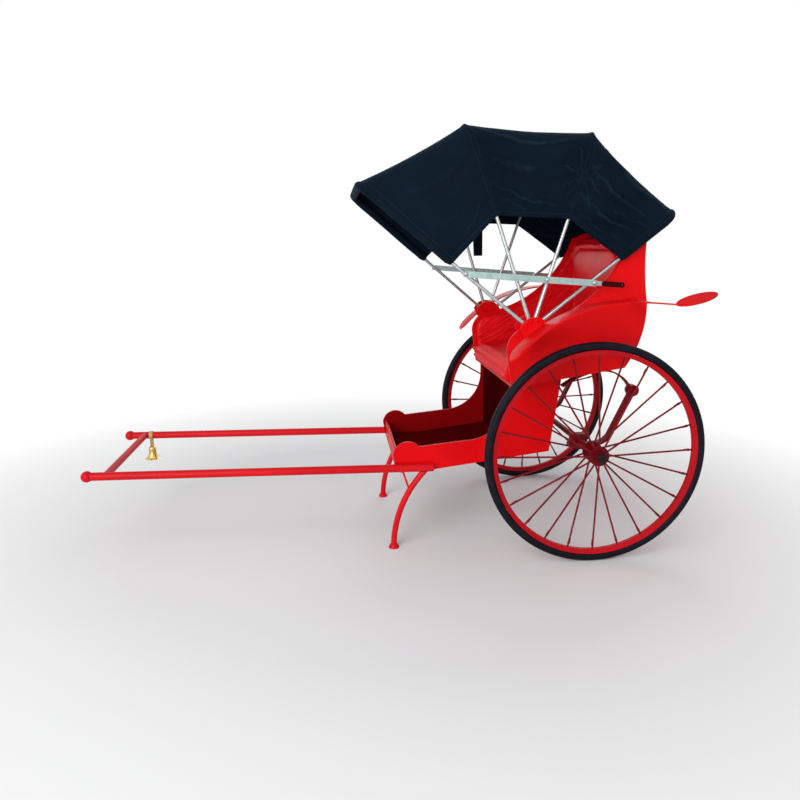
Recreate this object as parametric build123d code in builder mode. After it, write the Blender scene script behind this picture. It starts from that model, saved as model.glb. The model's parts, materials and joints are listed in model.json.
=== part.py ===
from build123d import *
import os
from math import atan2, cos, degrees, hypot, radians, sin, sqrt, tan

# A hand-pulled rickshaw: a sheet-metal tub on two wire wheels, twin shafts and a folding hood.
# Millimetres. +X to the rear, +Y to the vehicle's right, +Z up. The origin lies on the ground
# under the middle of the length and of the width.

os.makedirs("parts", exist_ok=True)

# Wheels and axle
wheel_diameter = 850
tyre_depth = 29
tyre_width = 32
rim_depth = 18
rim_width = 28
spoke_count = 24
spoke_diameter = 7
hub_length = 110
hub_diameter = 46
flange_diameter = 76
flange_width = 6
flange_spacing = 70
axle_diameter = 24
axle_nut_size = 38
axle_nut_length = 16
wheel_offset = 155

# Fits between pieces
seat_gap = 0.3
spoke_gap = 0.7
running_gap = 1

# Widths of the tub over its outer faces, and its sheet
footwell_width = 542
seat_width = 670
sheet = 12

# Footwell, measured from the axle: forward is negative, up is positive
front_board_x = -735
floor_z = -109
floor_bend_x = -577
floor_rear_x = -109
floor_rear_z = -53
front_board_height = 72
scroll_x = -693
scroll_z = -45
scroll_radius = 53
rail_dip_x = -641
rail_dip_z = -13
sweep_x = -450
sweep_z = 5
sweep_radius = 175
riser_x = -262
riser_top_x = -62

# Seat, measured from the axle
seat_front_x = -285
seat_front_z = 230
seat_slope = 8.5
side_lip = 3
side_front_x = -305
arm_front_z = 375
arm_corner_radius = 90
arm_middle = (7, 565)
wing_top = (177, 804)
back_top = (238, 826)
back_waist = (234, 660)
back_bulge = (247, 550)
back_hip = (236, 440)
back_foot = (168, 295)
cushion_front_x = -306
cushion_depth = 405
cushion_height = 58
cushion_roll = 24
back_pad_thickness = 45
back_pad_bottom_z = 372
back_pad_top_z = 812
back_pad_corner = 90
lining_thickness = 12

# Shafts, crossbar and front legs
shaft_diameter = 32
shaft_front_x = -1926
shaft_front_z = -74
shaft_rear_x = -584
shaft_rear_z = -95
knob_diameter = 44
collar_x = -712
collar_diameter = 35
collar_length = 10
crossbar_x = -1858
crossbar_diameter = 28
leg_diameter = 24
leg_top_x = -610
leg_bow_x = -718
leg_foot_x = -750
foot_diameter = 44
foot_height = 14
strut_diameter = 8
strut_top_x = -714
strut_meet = 0.67

# Bell on the right shaft
bell_clear = 6
bell_diameter = 70
bell_height = 58
bell_wall = 3
bell_crown_diameter = 34
bell_drop = 34
bell_strap_width = 16
bell_strap_thickness = 2.5
clapper_diameter = 14

# Springs
spring_thickness = 12
spring_width = 36
spring_heel_x = -40
spring_bend_x = 70
spring_radius = 70
spring_sweep = 64
spring_rise = 180
spring_eye_diameter = 46
spring_eye_bore = 18
spring_leaf_thickness = 6
spring_leaf_front_x = -72
spring_leaf_top_x = 70
spring_leaf_droop = 40
clamp_length = 60
clamp_height = 26

# Fenders
fender_width = 100
fender_thickness = 5
fender_clearance = 130
fender_centre_x = 97
fender_front_angle = 141
fender_rear_angle = 85
fender_tip_length = 105
fender_taper_start_x = 110
fender_taper_end_x = 205
stem_width = 30
stem_end_x = 300
leaf_length = 160
leaf_width = 58
leaf_rise = 14
leaf_tilt = 28
lug_width = 28
front_lug_x = -188
front_lug_rise = 36
rear_lug_x = 172

# Hood: every bow turns about one lateral axis
pivot_x = -222
pivot_z = 455
bow_diameter = 14
bow_eye_diameter = 30
bow_eye_width = 14
bow_pitch = 19
pivot_bolt_diameter = 12
bow_corner_radius = 70
bracket_thickness = 5
bracket_radius = 58
bracket_fan_start = 12
bracket_fan_sweep = 150
bracket_apex_x = -10
bracket_apex_drop = 42
bracket_apex_radius = 14
cloth_thickness = 4
cloth_gap = 1.5
cloth_seam = 0.05
rear_bow_reach = 715
third_bow_reach = 765
second_bow_reach = 793
front_bow_reach = 843
rear_bow_outset = 12
third_bow_outset = 3
second_bow_outset = -5
front_bow_outset = -13
rear_cloth_reach = 435
third_cloth_reach = 440
second_cloth_reach = 452
front_cloth_reach = 400
# name, angle from the rear horizon, reach from the pivot to the crown, how far the crown stands
# outside the seat's side, reach to the cloth's lower edge, place in the stack on the pivot bolt
BOW_TABLE = [
    ("rear", 37.7, rear_bow_reach, rear_bow_outset, rear_cloth_reach, 0),
    ("third", 71.6, third_bow_reach, third_bow_outset, third_cloth_reach, 1),
    ("second", 107.5, second_bow_reach, second_bow_outset, second_cloth_reach, 2),
    ("front", 139.3, front_bow_reach, front_bow_outset, front_cloth_reach, 3),
]

# Hood stays
stay_width = 24
stay_thickness = 5
stay_gap = 8
stay_pin_diameter = 10
stay_front_radius = 337
stay_rear_radius = 292
stay_rear_length = 182
lever_length = 115
lever_width = 15
grip_length = 88
grip_width = 20
grip_thickness = 6
grip_hole = 7

SIDES = (("left", -1), ("right", 1))

# Places that follow from those sizes
wheel_radius = wheel_diameter / 2
axle_z = wheel_radius
leaf_angle = radians(leaf_rise)
leaf_reach = leaf_length * cos(leaf_angle)
axle_x = -(shaft_front_x - knob_diameter / 2 + stem_end_x + leaf_reach - stem_width / 2) / 2
footwell_half = footwell_width / 2
seat_half = seat_width / 2
wheel_y = seat_half + wheel_offset
shaft_y = footwell_half + seat_gap + collar_diameter / 2
seat_grade = tan(radians(seat_slope))
shaft_length = hypot(shaft_rear_x - shaft_front_x, shaft_rear_z - shaft_front_z)
shaft_grade = (shaft_rear_z - shaft_front_z) / (shaft_rear_x - shaft_front_x)


def at(x, z):
    """A point of a side view, given from the axle, in the frame of the whole object."""
    return (axle_x + x, axle_z + z)


def side_plane(y):
    """An upright plane along the vehicle at y, which extrudes towards -Y."""
    return Plane.XZ.offset(-y)


def span(side, inner, outer):
    """The plane at the +Y face of a wall between two distances from the middle."""
    return side_plane(max(side * inner, side * outer))


def seat_under(x):
    """Height of the seat board's underside, from the axle."""
    return seat_front_z + (x - seat_front_x) * seat_grade


def shaft_level(x):
    """Height of the shafts' centre line, from the axle."""
    return shaft_front_z + (x - shaft_front_x) * shaft_grade


def shaft_plane(side, x):
    """A plane across a shaft at x, looking to the rear along it."""
    point = at(x, shaft_level(x))
    return Plane(
        origin=(point[0], side * shaft_y, point[1]),
        x_dir=(0, 1, 0),
        z_dir=(1, 0, shaft_grade),
    )


def finish(builder, name):
    """Label a finished piece and write it."""
    builder.part.label = name
    export_step(builder.part, f"parts/{name}.step")


# Wheels: a solid tyre on a channel rim, laced to a flanged hub
rim_outer = wheel_radius - tyre_depth
rim_inner = rim_outer - rim_depth
bore_radius = axle_diameter / 2 + seat_gap
spoke_root = flange_diameter / 2 + spoke_gap
spoke_tip = rim_inner - spoke_gap

for side_name, side in SIDES:
    centre = Plane(origin=(axle_x, side * wheel_y, axle_z), x_dir=(1, 0, 0), z_dir=(0, -1, 0))
    section = Plane(origin=centre.origin, x_dir=(1, 0, 0), z_dir=(0, 0, 1))

    with BuildPart() as tyre:
        with BuildSketch(section):
            with Locations((wheel_radius - tyre_depth / 2, 0)):
                RectangleRounded(tyre_depth, tyre_width, tyre_depth * 0.42)
        revolve(axis=Axis(centre.origin, (0, 1, 0)))
    finish(tyre, f"tyre_{side_name}")

    with BuildPart() as rim:
        with BuildSketch(section):
            with Locations(((rim_outer + rim_inner) / 2 - seat_gap / 2, 0)):
                Trapezoid(rim_width, rim_depth - seat_gap, 68, rotation=90)
        revolve(axis=Axis(centre.origin, (0, 1, 0)))
    finish(rim, f"rim_{side_name}")

    with BuildPart() as hub:
        with BuildSketch(section):
            with Locations(((bore_radius + hub_diameter / 2) / 2, 0)):
                Rectangle(hub_diameter / 2 - bore_radius, hub_length)
            with Locations(
                ((bore_radius + flange_diameter / 2) / 2, flange_spacing / 2),
                ((bore_radius + flange_diameter / 2) / 2, -flange_spacing / 2),
            ):
                Rectangle(flange_diameter / 2 - bore_radius, flange_width)
        revolve(axis=Axis(centre.origin, (0, 1, 0)))
    finish(hub, f"hub_{side_name}")

    with BuildPart() as spokes:
        lean = flange_spacing / 2
        for flange in (-1, 1):
            for number in range(spoke_count // 2):
                turn = 360 / spoke_count * (2 * number + (flange + 1) / 2)
                out = (cos(radians(turn)), sin(radians(turn)))
                root = Vector(axle_x + spoke_root * out[0], side * wheel_y + flange * lean,
                              axle_z + spoke_root * out[1])
                tip = Vector(axle_x + spoke_tip * out[0], side * wheel_y,
                             axle_z + spoke_tip * out[1])
                with BuildSketch(Plane(origin=root, z_dir=tip - root)):
                    Circle(spoke_diameter / 2)
                extrude(amount=(tip - root).length)
    finish(spokes, f"spokes_{side_name}")

# Axle with a domed nut at each end, outside the hubs
axle_half = wheel_y + hub_length / 2 + running_gap

with BuildPart() as axle:
    with BuildSketch(Plane(origin=(axle_x, axle_half, axle_z), x_dir=(1, 0, 0), z_dir=(0, -1, 0))):
        Circle(axle_diameter / 2)
    extrude(amount=2 * axle_half)
finish(axle, "axle")

with BuildPart() as axle_nuts:
    for side_name, side in SIDES:
        with BuildSketch(Plane(origin=(axle_x, side * axle_half, axle_z), x_dir=(1, 0, 0),
                               z_dir=(0, side, 0))):
            RegularPolygon(axle_nut_size / 2, 6, major_radius=False)
        extrude(amount=axle_nut_length, taper=12)
finish(axle_nuts, "axle_nuts")

# Springs: a bar clamped under the axle sweeps up behind to a rolled eye, and a thin leaf runs
# forward from the eye to carry the seat board
spring_inner = footwell_half + (seat_half - sheet - footwell_half - spring_width) / 2
spring_bar_z = -(axle_diameter / 2 + seat_gap + spring_thickness / 2)
spring_arm = spring_rise + spring_eye_diameter / 3
spring_eye = (
    spring_bend_x + spring_radius * sin(radians(spring_sweep)) + spring_arm * cos(radians(spring_sweep)),
    spring_bar_z + spring_radius * (1 - cos(radians(spring_sweep)))
    + spring_arm * sin(radians(spring_sweep)),
)
leaf_end_radius = (spring_eye_diameter + spring_eye_bore) / 4
# The thin leaf touches the sloping seat board and bends down from there to the eye and to the front
leaf_touch_z = seat_under(spring_leaf_top_x) - (seat_gap + spring_leaf_thickness / 2) / cos(
    radians(seat_slope))
leaf_end = (
    spring_eye[0] - leaf_end_radius * cos(radians(45)),
    spring_eye[1] + leaf_end_radius * sin(radians(45)),
)
leaf_front_z = seat_under(spring_leaf_front_x) - spring_leaf_droop

for side_name, side in SIDES:
    with BuildPart() as spring:
        plane = span(side, spring_inner, spring_inner + spring_width)
        with BuildSketch(plane):
            with BuildLine():
                heel = Line(at(spring_heel_x, spring_bar_z), at(spring_bend_x, spring_bar_z))
                bend = JernArc(heel @ 1, heel % 1, spring_radius, spring_sweep)
                PolarLine(bend @ 1, spring_rise, direction=bend % 1)
            trace(line_width=spring_thickness)
        extrude(amount=spring_width)
        with BuildSketch(plane):
            with BuildLine():
                touch = at(spring_leaf_top_x, leaf_touch_z)
                TangentArc(touch, at(*leaf_end), tangent=(1, seat_grade))
                TangentArc(touch, at(spring_leaf_front_x, leaf_front_z), tangent=(-1, -seat_grade))
            trace(line_width=spring_leaf_thickness)
        extrude(amount=spring_width)
        with BuildSketch(plane):
            with Locations(at(*spring_eye)):
                Circle(spring_eye_diameter / 2)
        extrude(amount=spring_width)
        with BuildSketch(plane):
            with Locations(at(*spring_eye)):
                Circle(spring_eye_bore / 2)
        extrude(amount=spring_width, mode=Mode.SUBTRACT)
    finish(spring, f"spring_{side_name}")

    with BuildPart() as axle_clamp:
        with BuildSketch(plane):
            with Locations(at(0, (clamp_height - axle_diameter / 2) / 2)):
                Rectangle(clamp_length, clamp_height + axle_diameter / 2)
            with Locations(at(0, 0)):
                Circle(bore_radius, mode=Mode.SUBTRACT)
            with Locations(at(0, -axle_diameter / 2)):
                Rectangle(2 * bore_radius, axle_diameter, mode=Mode.SUBTRACT)
        extrude(amount=spring_width)
    finish(axle_clamp, f"axle_clamp_{side_name}")

# Footwell: two sides with a rolled front and a sweep up to the seat
front_foot = (front_board_x, floor_z)
floor_bend = (floor_bend_x, floor_z)
floor_rear = (floor_rear_x, floor_rear_z)
riser_top = (riser_top_x, seat_under(riser_top_x))
sweep_end_x = sweep_x + sweep_radius

for side_name, side in SIDES:
    with BuildPart() as footwell_side:
        with BuildSketch(span(side, footwell_half - sheet, footwell_half)):
            with BuildLine():
                Polyline(
                    at(sweep_end_x, sweep_z + sweep_radius),
                    at(sweep_end_x, seat_under(sweep_end_x)),
                    at(*riser_top),
                    at(*floor_rear),
                    at(*floor_bend),
                    at(*front_foot),
                    at(scroll_x - scroll_radius, scroll_z),
                )
                ThreePointArc(
                    at(scroll_x - scroll_radius, scroll_z),
                    at(scroll_x, scroll_z + scroll_radius),
                    at(rail_dip_x, rail_dip_z),
                )
                Line(at(rail_dip_x, rail_dip_z), at(sweep_x, sweep_z))
                ThreePointArc(
                    at(sweep_x, sweep_z),
                    at(sweep_x + sweep_radius * sin(radians(45)),
                       sweep_z + sweep_radius * (1 - cos(radians(45)))),
                    at(sweep_end_x, sweep_z + sweep_radius),
                )
            make_face()
        extrude(amount=sheet)
    finish(footwell_side, f"footwell_side_{side_name}")

inside_half = footwell_half - sheet
rear_lean = (riser_top[0] - floor_rear[0]) / (riser_top[1] - floor_rear[1])


def floor_top(x):
    """Height of the floor's upper face behind its bend, from the axle."""
    grade = (floor_rear_z - floor_z) / (floor_rear_x - floor_bend_x)
    return floor_z + sheet + max(0, x - floor_bend_x) * grade


floor_heel_x = floor_rear_x + sheet * rear_lean

with BuildPart() as footwell_floor:
    with BuildSketch(side_plane(inside_half)):
        with BuildLine():
            Polyline(
                at(front_board_x + sheet, floor_z),
                at(*floor_bend),
                at(*floor_rear),
                at(floor_heel_x, floor_top(floor_heel_x)),
                at(floor_bend_x, floor_z + sheet),
                at(front_board_x + sheet, floor_z + sheet),
                close=True,
            )
        make_face()
    extrude(amount=2 * inside_half)
finish(footwell_floor, "footwell_floor")

with BuildPart() as front_board:
    with BuildSketch(side_plane(inside_half)):
        with Locations(at(front_board_x + sheet / 2, floor_z + front_board_height / 2)):
            Rectangle(sheet, front_board_height)
    extrude(amount=2 * inside_half)
    fillet(front_board.edges().filter_by(Axis.Y).group_by(Axis.Z)[-1], sheet * 0.4)
finish(front_board, "front_board")

with BuildPart() as riser_front:
    with BuildSketch(side_plane(inside_half)):
        with BuildLine():
            Polyline(
                at(riser_x, floor_top(riser_x)),
                at(riser_x + sheet, floor_top(riser_x + sheet)),
                at(riser_x + sheet, seat_under(riser_x + sheet)),
                at(riser_x, seat_under(riser_x)),
                close=True,
            )
        make_face()
    extrude(amount=2 * inside_half)
finish(riser_front, "riser_front")

with BuildPart() as riser_rear:
    with BuildSketch(side_plane(inside_half)):
        with BuildLine():
            Polyline(
                at(floor_heel_x - sheet, floor_top(floor_heel_x - sheet)),
                at(floor_heel_x, floor_top(floor_heel_x)),
                at(*riser_top),
                at(riser_top[0] - sheet, seat_under(riser_top[0] - sheet)),
                close=True,
            )
        make_face()
    extrude(amount=2 * inside_half)
finish(riser_rear, "riser_rear")


# Seat: two side panels that rise from arm to wing, an S-shaped back, a board and its padding
def side_outline():
    """Face of a seat side in the current sketch."""
    corner_x = side_front_x + arm_corner_radius
    with BuildLine() as outline:
        Polyline(
            at(*back_foot),
            at(seat_front_x, seat_under(seat_front_x) - side_lip),
            at(side_front_x, arm_front_z),
        )
        ThreePointArc(
            at(side_front_x, arm_front_z),
            at(corner_x - arm_corner_radius * cos(radians(45)),
               arm_front_z + arm_corner_radius * sin(radians(45))),
            at(corner_x, arm_front_z + arm_corner_radius),
        )
        ThreePointArc(at(corner_x, arm_front_z + arm_corner_radius), at(*arm_middle), at(*wing_top))
        Line(at(*wing_top), at(*back_top))
        ThreePointArc(at(*back_top), at(*back_waist), at(*back_bulge))
        ThreePointArc(at(*back_bulge), at(*back_hip), at(*back_foot))
    make_face(outline.edges())


def back_strip(near, far):
    """Face between two copies of the back's rear edge, moved forward by near and far."""
    edge = [back_top, back_waist, back_bulge, back_hip, back_foot]
    rear = [at(x - near, z) for x, z in edge]
    front = [at(x - far, z) for x, z in edge]
    with BuildLine() as outline:
        for points in (rear, front):
            ThreePointArc(*points[:3])
            ThreePointArc(*points[2:])
        Line(rear[0], front[0])
        Line(rear[-1], front[-1])
    make_face(outline.edges())


for side_name, side in SIDES:
    with BuildPart() as seat_side:
        with BuildSketch(span(side, seat_half - sheet, seat_half)):
            side_outline()
        extrude(amount=sheet)
    finish(seat_side, f"seat_side_{side_name}")

    lining_outer = seat_half - sheet - seat_gap
    with BuildPart() as arm_lining:
        with BuildSketch(span(side, lining_outer - lining_thickness, lining_outer)):
            side_outline()
            offset(amount=-(sheet + side_lip + running_gap), mode=Mode.REPLACE)
        extrude(amount=lining_thickness)
    finish(arm_lining, f"arm_lining_{side_name}")

seat_inside = seat_half - sheet
pad_half = seat_inside - seat_gap - lining_thickness - running_gap

with BuildPart() as back_panel:
    with BuildSketch(side_plane(seat_inside)):
        back_strip(0, sheet)
    extrude(amount=2 * seat_inside)
finish(back_panel, "back_panel")

with BuildPart() as seat_board:
    board_rear_x = back_foot[0] - sheet - seat_gap
    with BuildSketch(side_plane(seat_inside)):
        with BuildLine():
            Polyline(
                at(seat_front_x, seat_under(seat_front_x)),
                at(board_rear_x, seat_under(board_rear_x)),
                at(board_rear_x, seat_under(board_rear_x) + sheet),
                at(seat_front_x, seat_under(seat_front_x) + sheet),
                close=True,
            )
        make_face()
    extrude(amount=2 * seat_inside)
finish(seat_board, "seat_board")

with BuildPart() as seat_cushion:
    cushion_rear_x = cushion_front_x + cushion_depth
    cushion_low = sheet + seat_gap
    with BuildSketch(side_plane(pad_half)) as cushion_sketch:
        with BuildLine():
            Polyline(
                at(cushion_front_x, seat_under(cushion_front_x) + cushion_low),
                at(cushion_rear_x, seat_under(cushion_rear_x) + cushion_low),
                at(cushion_rear_x, seat_under(cushion_rear_x) + cushion_low + cushion_height),
                at(cushion_front_x, seat_under(cushion_front_x) + cushion_low + cushion_height),
                close=True,
            )
        make_face()
        fillet(cushion_sketch.vertices().group_by(Axis.X)[0], cushion_roll)
    extrude(amount=2 * pad_half)
finish(seat_cushion, "seat_cushion")

with BuildPart() as backrest_pad:
    with BuildSketch(side_plane(pad_half)):
        back_strip(sheet + seat_gap, sheet + back_pad_thickness)
        with Locations(at(back_bulge[0], (back_pad_bottom_z + back_pad_top_z) / 2)):
            Rectangle(seat_width, back_pad_top_z - back_pad_bottom_z, mode=Mode.INTERSECT)
    extrude(amount=2 * pad_half)
    fillet(backrest_pad.edges().filter_by(Axis.X).group_by(Axis.Z)[-1], back_pad_corner)
finish(backrest_pad, "backrest_pad")

# Shafts with ball ends, the crossbar coped between them
for side_name, side in SIDES:
    with BuildPart() as shaft:
        with BuildSketch(shaft_plane(side, shaft_front_x)):
            Circle(shaft_diameter / 2)
        extrude(amount=shaft_length)
        chamfer(shaft.edges().sort_by(Axis.X)[-1], shaft_diameter / 8)
        with BuildSketch(shaft_plane(side, collar_x - collar_length)):
            Circle(collar_diameter / 2)
        extrude(amount=collar_length)
        with Locations(shaft_plane(side, shaft_front_x)):
            Sphere(knob_diameter / 2)
    finish(shaft, f"shaft_{side_name}")

with BuildPart() as crossbar:
    crossbar_point = at(crossbar_x, shaft_level(crossbar_x))
    with BuildSketch(Plane(origin=(crossbar_point[0], shaft_y, crossbar_point[1]),
                           x_dir=(1, 0, 0), z_dir=(0, -1, 0))):
        Circle(crossbar_diameter / 2)
    extrude(amount=2 * shaft_y)
    for side_name, side in SIDES:
        with BuildSketch(shaft_plane(side, shaft_front_x)):
            Circle(shaft_diameter / 2 + seat_gap)
        extrude(amount=shaft_length, mode=Mode.SUBTRACT)
finish(crossbar, "crossbar")

# Front legs: a bowed bar with a flared foot and a thin strut, fitted to the shaft's underside
for side_name, side in SIDES:
    with BuildPart() as leg:
        leg_top = at(leg_top_x, shaft_level(leg_top_x))
        leg_foot = (axle_x + leg_foot_x, foot_height / 2)
        leg_bow = (axle_x + leg_bow_x, (leg_top[1] + leg_foot[1]) / 2)
        plane = side_plane(side * shaft_y)
        with BuildLine(plane) as leg_path:
            ThreePointArc(leg_foot, leg_bow, leg_top)
        with BuildSketch(Plane(origin=leg_path.line @ 0, z_dir=leg_path.line % 0)):
            Circle(leg_diameter / 2)
        sweep(path=leg_path.line)
        with BuildSketch(Plane(origin=(leg_foot[0], side * shaft_y, 0))):
            Circle(foot_diameter / 2)
        extrude(amount=foot_height, taper=25)
        strut_top = Vector(axle_x + strut_top_x, side * shaft_y, axle_z + shaft_level(strut_top_x))
        strut_foot = leg_path.line @ strut_meet
        with BuildSketch(Plane(origin=strut_top, z_dir=strut_foot - strut_top)):
            Circle(strut_diameter / 2)
        extrude(amount=(strut_foot - strut_top).length)
        with BuildSketch(shaft_plane(side, collar_x - shaft_diameter)):
            Circle(collar_diameter / 2 + seat_gap)
        extrude(amount=shaft_length, mode=Mode.SUBTRACT)
        with BuildSketch(Plane.XY):
            Rectangle(wheel_diameter * 4, wheel_diameter * 4)
        extrude(amount=-wheel_diameter, mode=Mode.SUBTRACT)
    finish(leg, f"leg_{side_name}")

# Bell under a strap round the right shaft
bell_x = crossbar_x + crossbar_diameter / 2 + bell_clear + bell_strap_width / 2
bell_axis = at(bell_x, shaft_level(bell_x))
strap_inner = shaft_diameter / 2 + seat_gap
strap_outer = strap_inner + bell_strap_thickness
strap_end_z = bell_axis[1] - strap_outer - bell_drop
bell_top_z = strap_end_z - seat_gap

with BuildPart() as bell_strap:
    with BuildSketch(shaft_plane(1, bell_x - bell_strap_width / 2)):
        Circle(strap_outer)
        Circle(strap_inner, mode=Mode.SUBTRACT)
    extrude(amount=bell_strap_width)
    with BuildSketch(Plane(origin=(bell_axis[0], shaft_y, strap_end_z))):
        Rectangle(bell_strap_width, bell_strap_thickness)
    extrude(amount=bell_drop + bell_strap_thickness / 2)
finish(bell_strap, "bell_strap")

with BuildPart() as bell:
    with BuildSketch(Plane(origin=(bell_axis[0], shaft_y, bell_top_z),
                           x_dir=(1, 0, 0), z_dir=(0, -1, 0))):
        with BuildLine():
            crown = bell_crown_diameter / 2
            mouth = bell_diameter / 2
            shoulder = -bell_height * 0.25
            Line((0, 0), (crown * 0.6, 0))
            ThreePointArc((crown * 0.6, 0), (crown * 0.9, shoulder * 0.35), (crown, shoulder))
            ThreePointArc((crown, shoulder), (crown * 1.15, -bell_height * 0.7),
                          (mouth, -bell_height))
            Line((mouth, -bell_height), (mouth - bell_wall, -bell_height))
            ThreePointArc((mouth - bell_wall, -bell_height),
                          (crown * 1.15 - bell_wall, -bell_height * 0.7),
                          (crown - bell_wall, shoulder - bell_wall))
            Line((crown - bell_wall, shoulder - bell_wall), (crown * 0.5, -bell_wall))
            Line((crown * 0.5, -bell_wall), (0, -bell_wall))
            Line((0, -bell_wall), (0, 0))
        make_face()
    revolve(axis=Axis((bell_axis[0], shaft_y, 0), (0, 0, 1)))
    with Locations((bell_axis[0], shaft_y, bell_top_z - bell_height * 0.45)):
        Cylinder(bell_wall / 2, bell_height * 0.9)
    with Locations((bell_axis[0], shaft_y, bell_top_z - bell_height * 0.9)):
        Sphere(clapper_diameter / 2)
finish(bell, "bell")

# Hood brackets, one channel a side, with the bolt that every bow turns on
stack_start = seat_half + bracket_thickness + running_gap * 2 + bow_eye_width / 2
bracket_outer = stack_start + 3 * bow_pitch + bow_eye_width / 2 + running_gap * 2
bracket_wide = bracket_outer + bracket_thickness - seat_half
pivot = at(pivot_x, pivot_z)


bracket_apex = (pivot[0] + bracket_apex_x, pivot[1] - bracket_apex_drop)


def bracket_plate():
    """Fan-shaped cheek of a hood bracket in the current sketch."""
    with BuildLine() as outline:
        CenterArc(pivot, bracket_radius, bracket_fan_start, bracket_fan_sweep)
        CenterArc(bracket_apex, bracket_apex_radius, 0, 360)
    make_hull(outline.edges())


for side_name, side in SIDES:
    with BuildPart() as hood_bracket:
        for inner in (seat_half, bracket_outer):
            with BuildSketch(span(side, inner, inner + bracket_thickness)):
                bracket_plate()
            extrude(amount=bracket_thickness)
        with BuildSketch(span(side, seat_half, seat_half + bracket_wide)):
            with Locations(bracket_apex):
                Rectangle(1.8 * bracket_apex_radius, bracket_thickness)
        extrude(amount=bracket_wide)
        with BuildSketch(span(side, seat_half, seat_half + bracket_wide)):
            with Locations(pivot):
                Circle(pivot_bolt_diameter / 2)
        extrude(amount=bracket_wide)
    finish(hood_bracket, f"hood_bracket_{side_name}")


# Bows: an inverted U of tube whose legs lean in from its eye to the crown
def bow_plane(angle):
    """Plane of a bow: local x along the pivot axis, local y away from it."""
    turn = radians(angle)
    return Plane(
        origin=(pivot[0], 0, pivot[1]),
        x_dir=(0, 1, 0),
        z_dir=(sin(turn), 0, -cos(turn)),
    )


bow_foot = bow_eye_diameter / 2 - running_gap


def bow_side(row, radius):
    """Distance of a bow's leg from the middle at a radius from the pivot."""
    name, angle, crown, outset, cloth_edge, stack = row
    foot_y = stack_start + stack * bow_pitch
    return foot_y + (seat_half + outset - foot_y) * (radius - bow_foot) / (crown - bow_foot)


rear_row = BOW_TABLE[0]
front_row = BOW_TABLE[-1]
stay_rear_angle = rear_row[1]
stay_front_angle = front_row[1]
stay_front = (
    pivot_x + stay_front_radius * cos(radians(stay_front_angle)),
    pivot_z + stay_front_radius * sin(radians(stay_front_angle)),
)
stay_rear = (
    pivot_x + stay_rear_radius * cos(radians(stay_rear_angle)),
    pivot_z + stay_rear_radius * sin(radians(stay_rear_angle)),
)
front_leg_face = bow_side(front_row, stay_front_radius) + bow_diameter / 2
rear_leg_y = bow_side(rear_row, stay_rear_radius)
front_link_y = front_leg_face + stay_gap
rear_link_y = front_link_y + stay_thickness + seat_gap
stay_outer_y = rear_link_y + stay_thickness

for bow_name, angle, crown, outset, cloth_edge, stack in BOW_TABLE:
    foot_y = stack_start + stack * bow_pitch
    crown_half = seat_half + outset
    with BuildPart() as bow:
        with BuildLine(bow_plane(angle)) as bow_path:
            FilletPolyline(
                (-foot_y, bow_foot), (-crown_half, crown), (crown_half, crown), (foot_y, bow_foot),
                radius=bow_corner_radius,
            )
        with BuildSketch(Plane(origin=bow_path.line @ 0, z_dir=bow_path.line % 0)):
            Circle(bow_diameter / 2)
        sweep(path=bow_path.line)
        for side_name, side in SIDES:
            eye_plane = span(side, foot_y - bow_eye_width / 2, foot_y + bow_eye_width / 2)
            with BuildSketch(eye_plane):
                with Locations(pivot):
                    Circle(bow_eye_diameter / 2)
            extrude(amount=bow_eye_width)
            with BuildSketch(eye_plane):
                with Locations(pivot):
                    Circle(pivot_bolt_diameter / 2 + seat_gap)
            extrude(amount=bow_eye_width, mode=Mode.SUBTRACT)
            if bow_name == "rear":
                with BuildSketch(span(side, rear_leg_y, stay_outer_y + running_gap)):
                    with Locations(at(*stay_rear)):
                        Circle(stay_pin_diameter / 2)
                extrude(amount=stay_outer_y + running_gap - rear_leg_y)
    finish(bow, f"hood_bow_{bow_name}")

# Hood cloth: three stretched panels, each between two bows
cloth_stand = bow_diameter / 2 + cloth_gap + cloth_thickness


def cloth_section(row, turn):
    """Section of the cloth over one bow, turned a little from that bow's plane."""
    name, angle, crown, outset, edge, stack = row
    low = bow_side(row, edge) + cloth_stand
    high = seat_half + outset + cloth_stand
    top = crown + cloth_stand
    corner = bow_corner_radius + cloth_stand
    inner = cloth_thickness
    with BuildSketch(bow_plane(angle + turn)) as section_sketch:
        with BuildLine():
            FilletPolyline((-low, edge), (-high, top), (high, top), (low, edge), radius=corner)
            Line((low, edge), (low - inner, edge))
            FilletPolyline((low - inner, edge), (high - inner, top - inner),
                           (inner - high, top - inner), (inner - low, edge),
                           radius=corner - inner)
            Line((inner - low, edge), (-low, edge))
        make_face()
    return section_sketch.sketch


CLOTH_TABLE = [
    ("rear", BOW_TABLE[0], 0, BOW_TABLE[1], -cloth_seam),
    ("top", BOW_TABLE[1], cloth_seam, BOW_TABLE[2], -cloth_seam),
    ("front", BOW_TABLE[2], cloth_seam, BOW_TABLE[3], 0),
]

for cloth_name, first, first_turn, second, second_turn in CLOTH_TABLE:
    with BuildPart() as cloth:
        loft(
            sections=[cloth_section(first, first_turn), cloth_section(second, second_turn)],
            ruled=True,
        )
    finish(cloth, f"hood_cloth_{cloth_name}")

# Stays: two flat links a side that meet at a rivet and break upwards as the hood folds
stay_span = hypot(stay_front[0] - stay_rear[0], stay_front[1] - stay_rear[1])
stay_way = ((stay_front[0] - stay_rear[0]) / stay_span, (stay_front[1] - stay_rear[1]) / stay_span)
stay_turn = degrees(atan2(stay_way[1], stay_way[0]))


def along_stay(distance):
    """Point on the stay's line, from its rear pivot towards the front."""
    return at(stay_rear[0] + stay_way[0] * distance, stay_rear[1] + stay_way[1] * distance)


stay_front_length = stay_span - stay_rear_length

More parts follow.
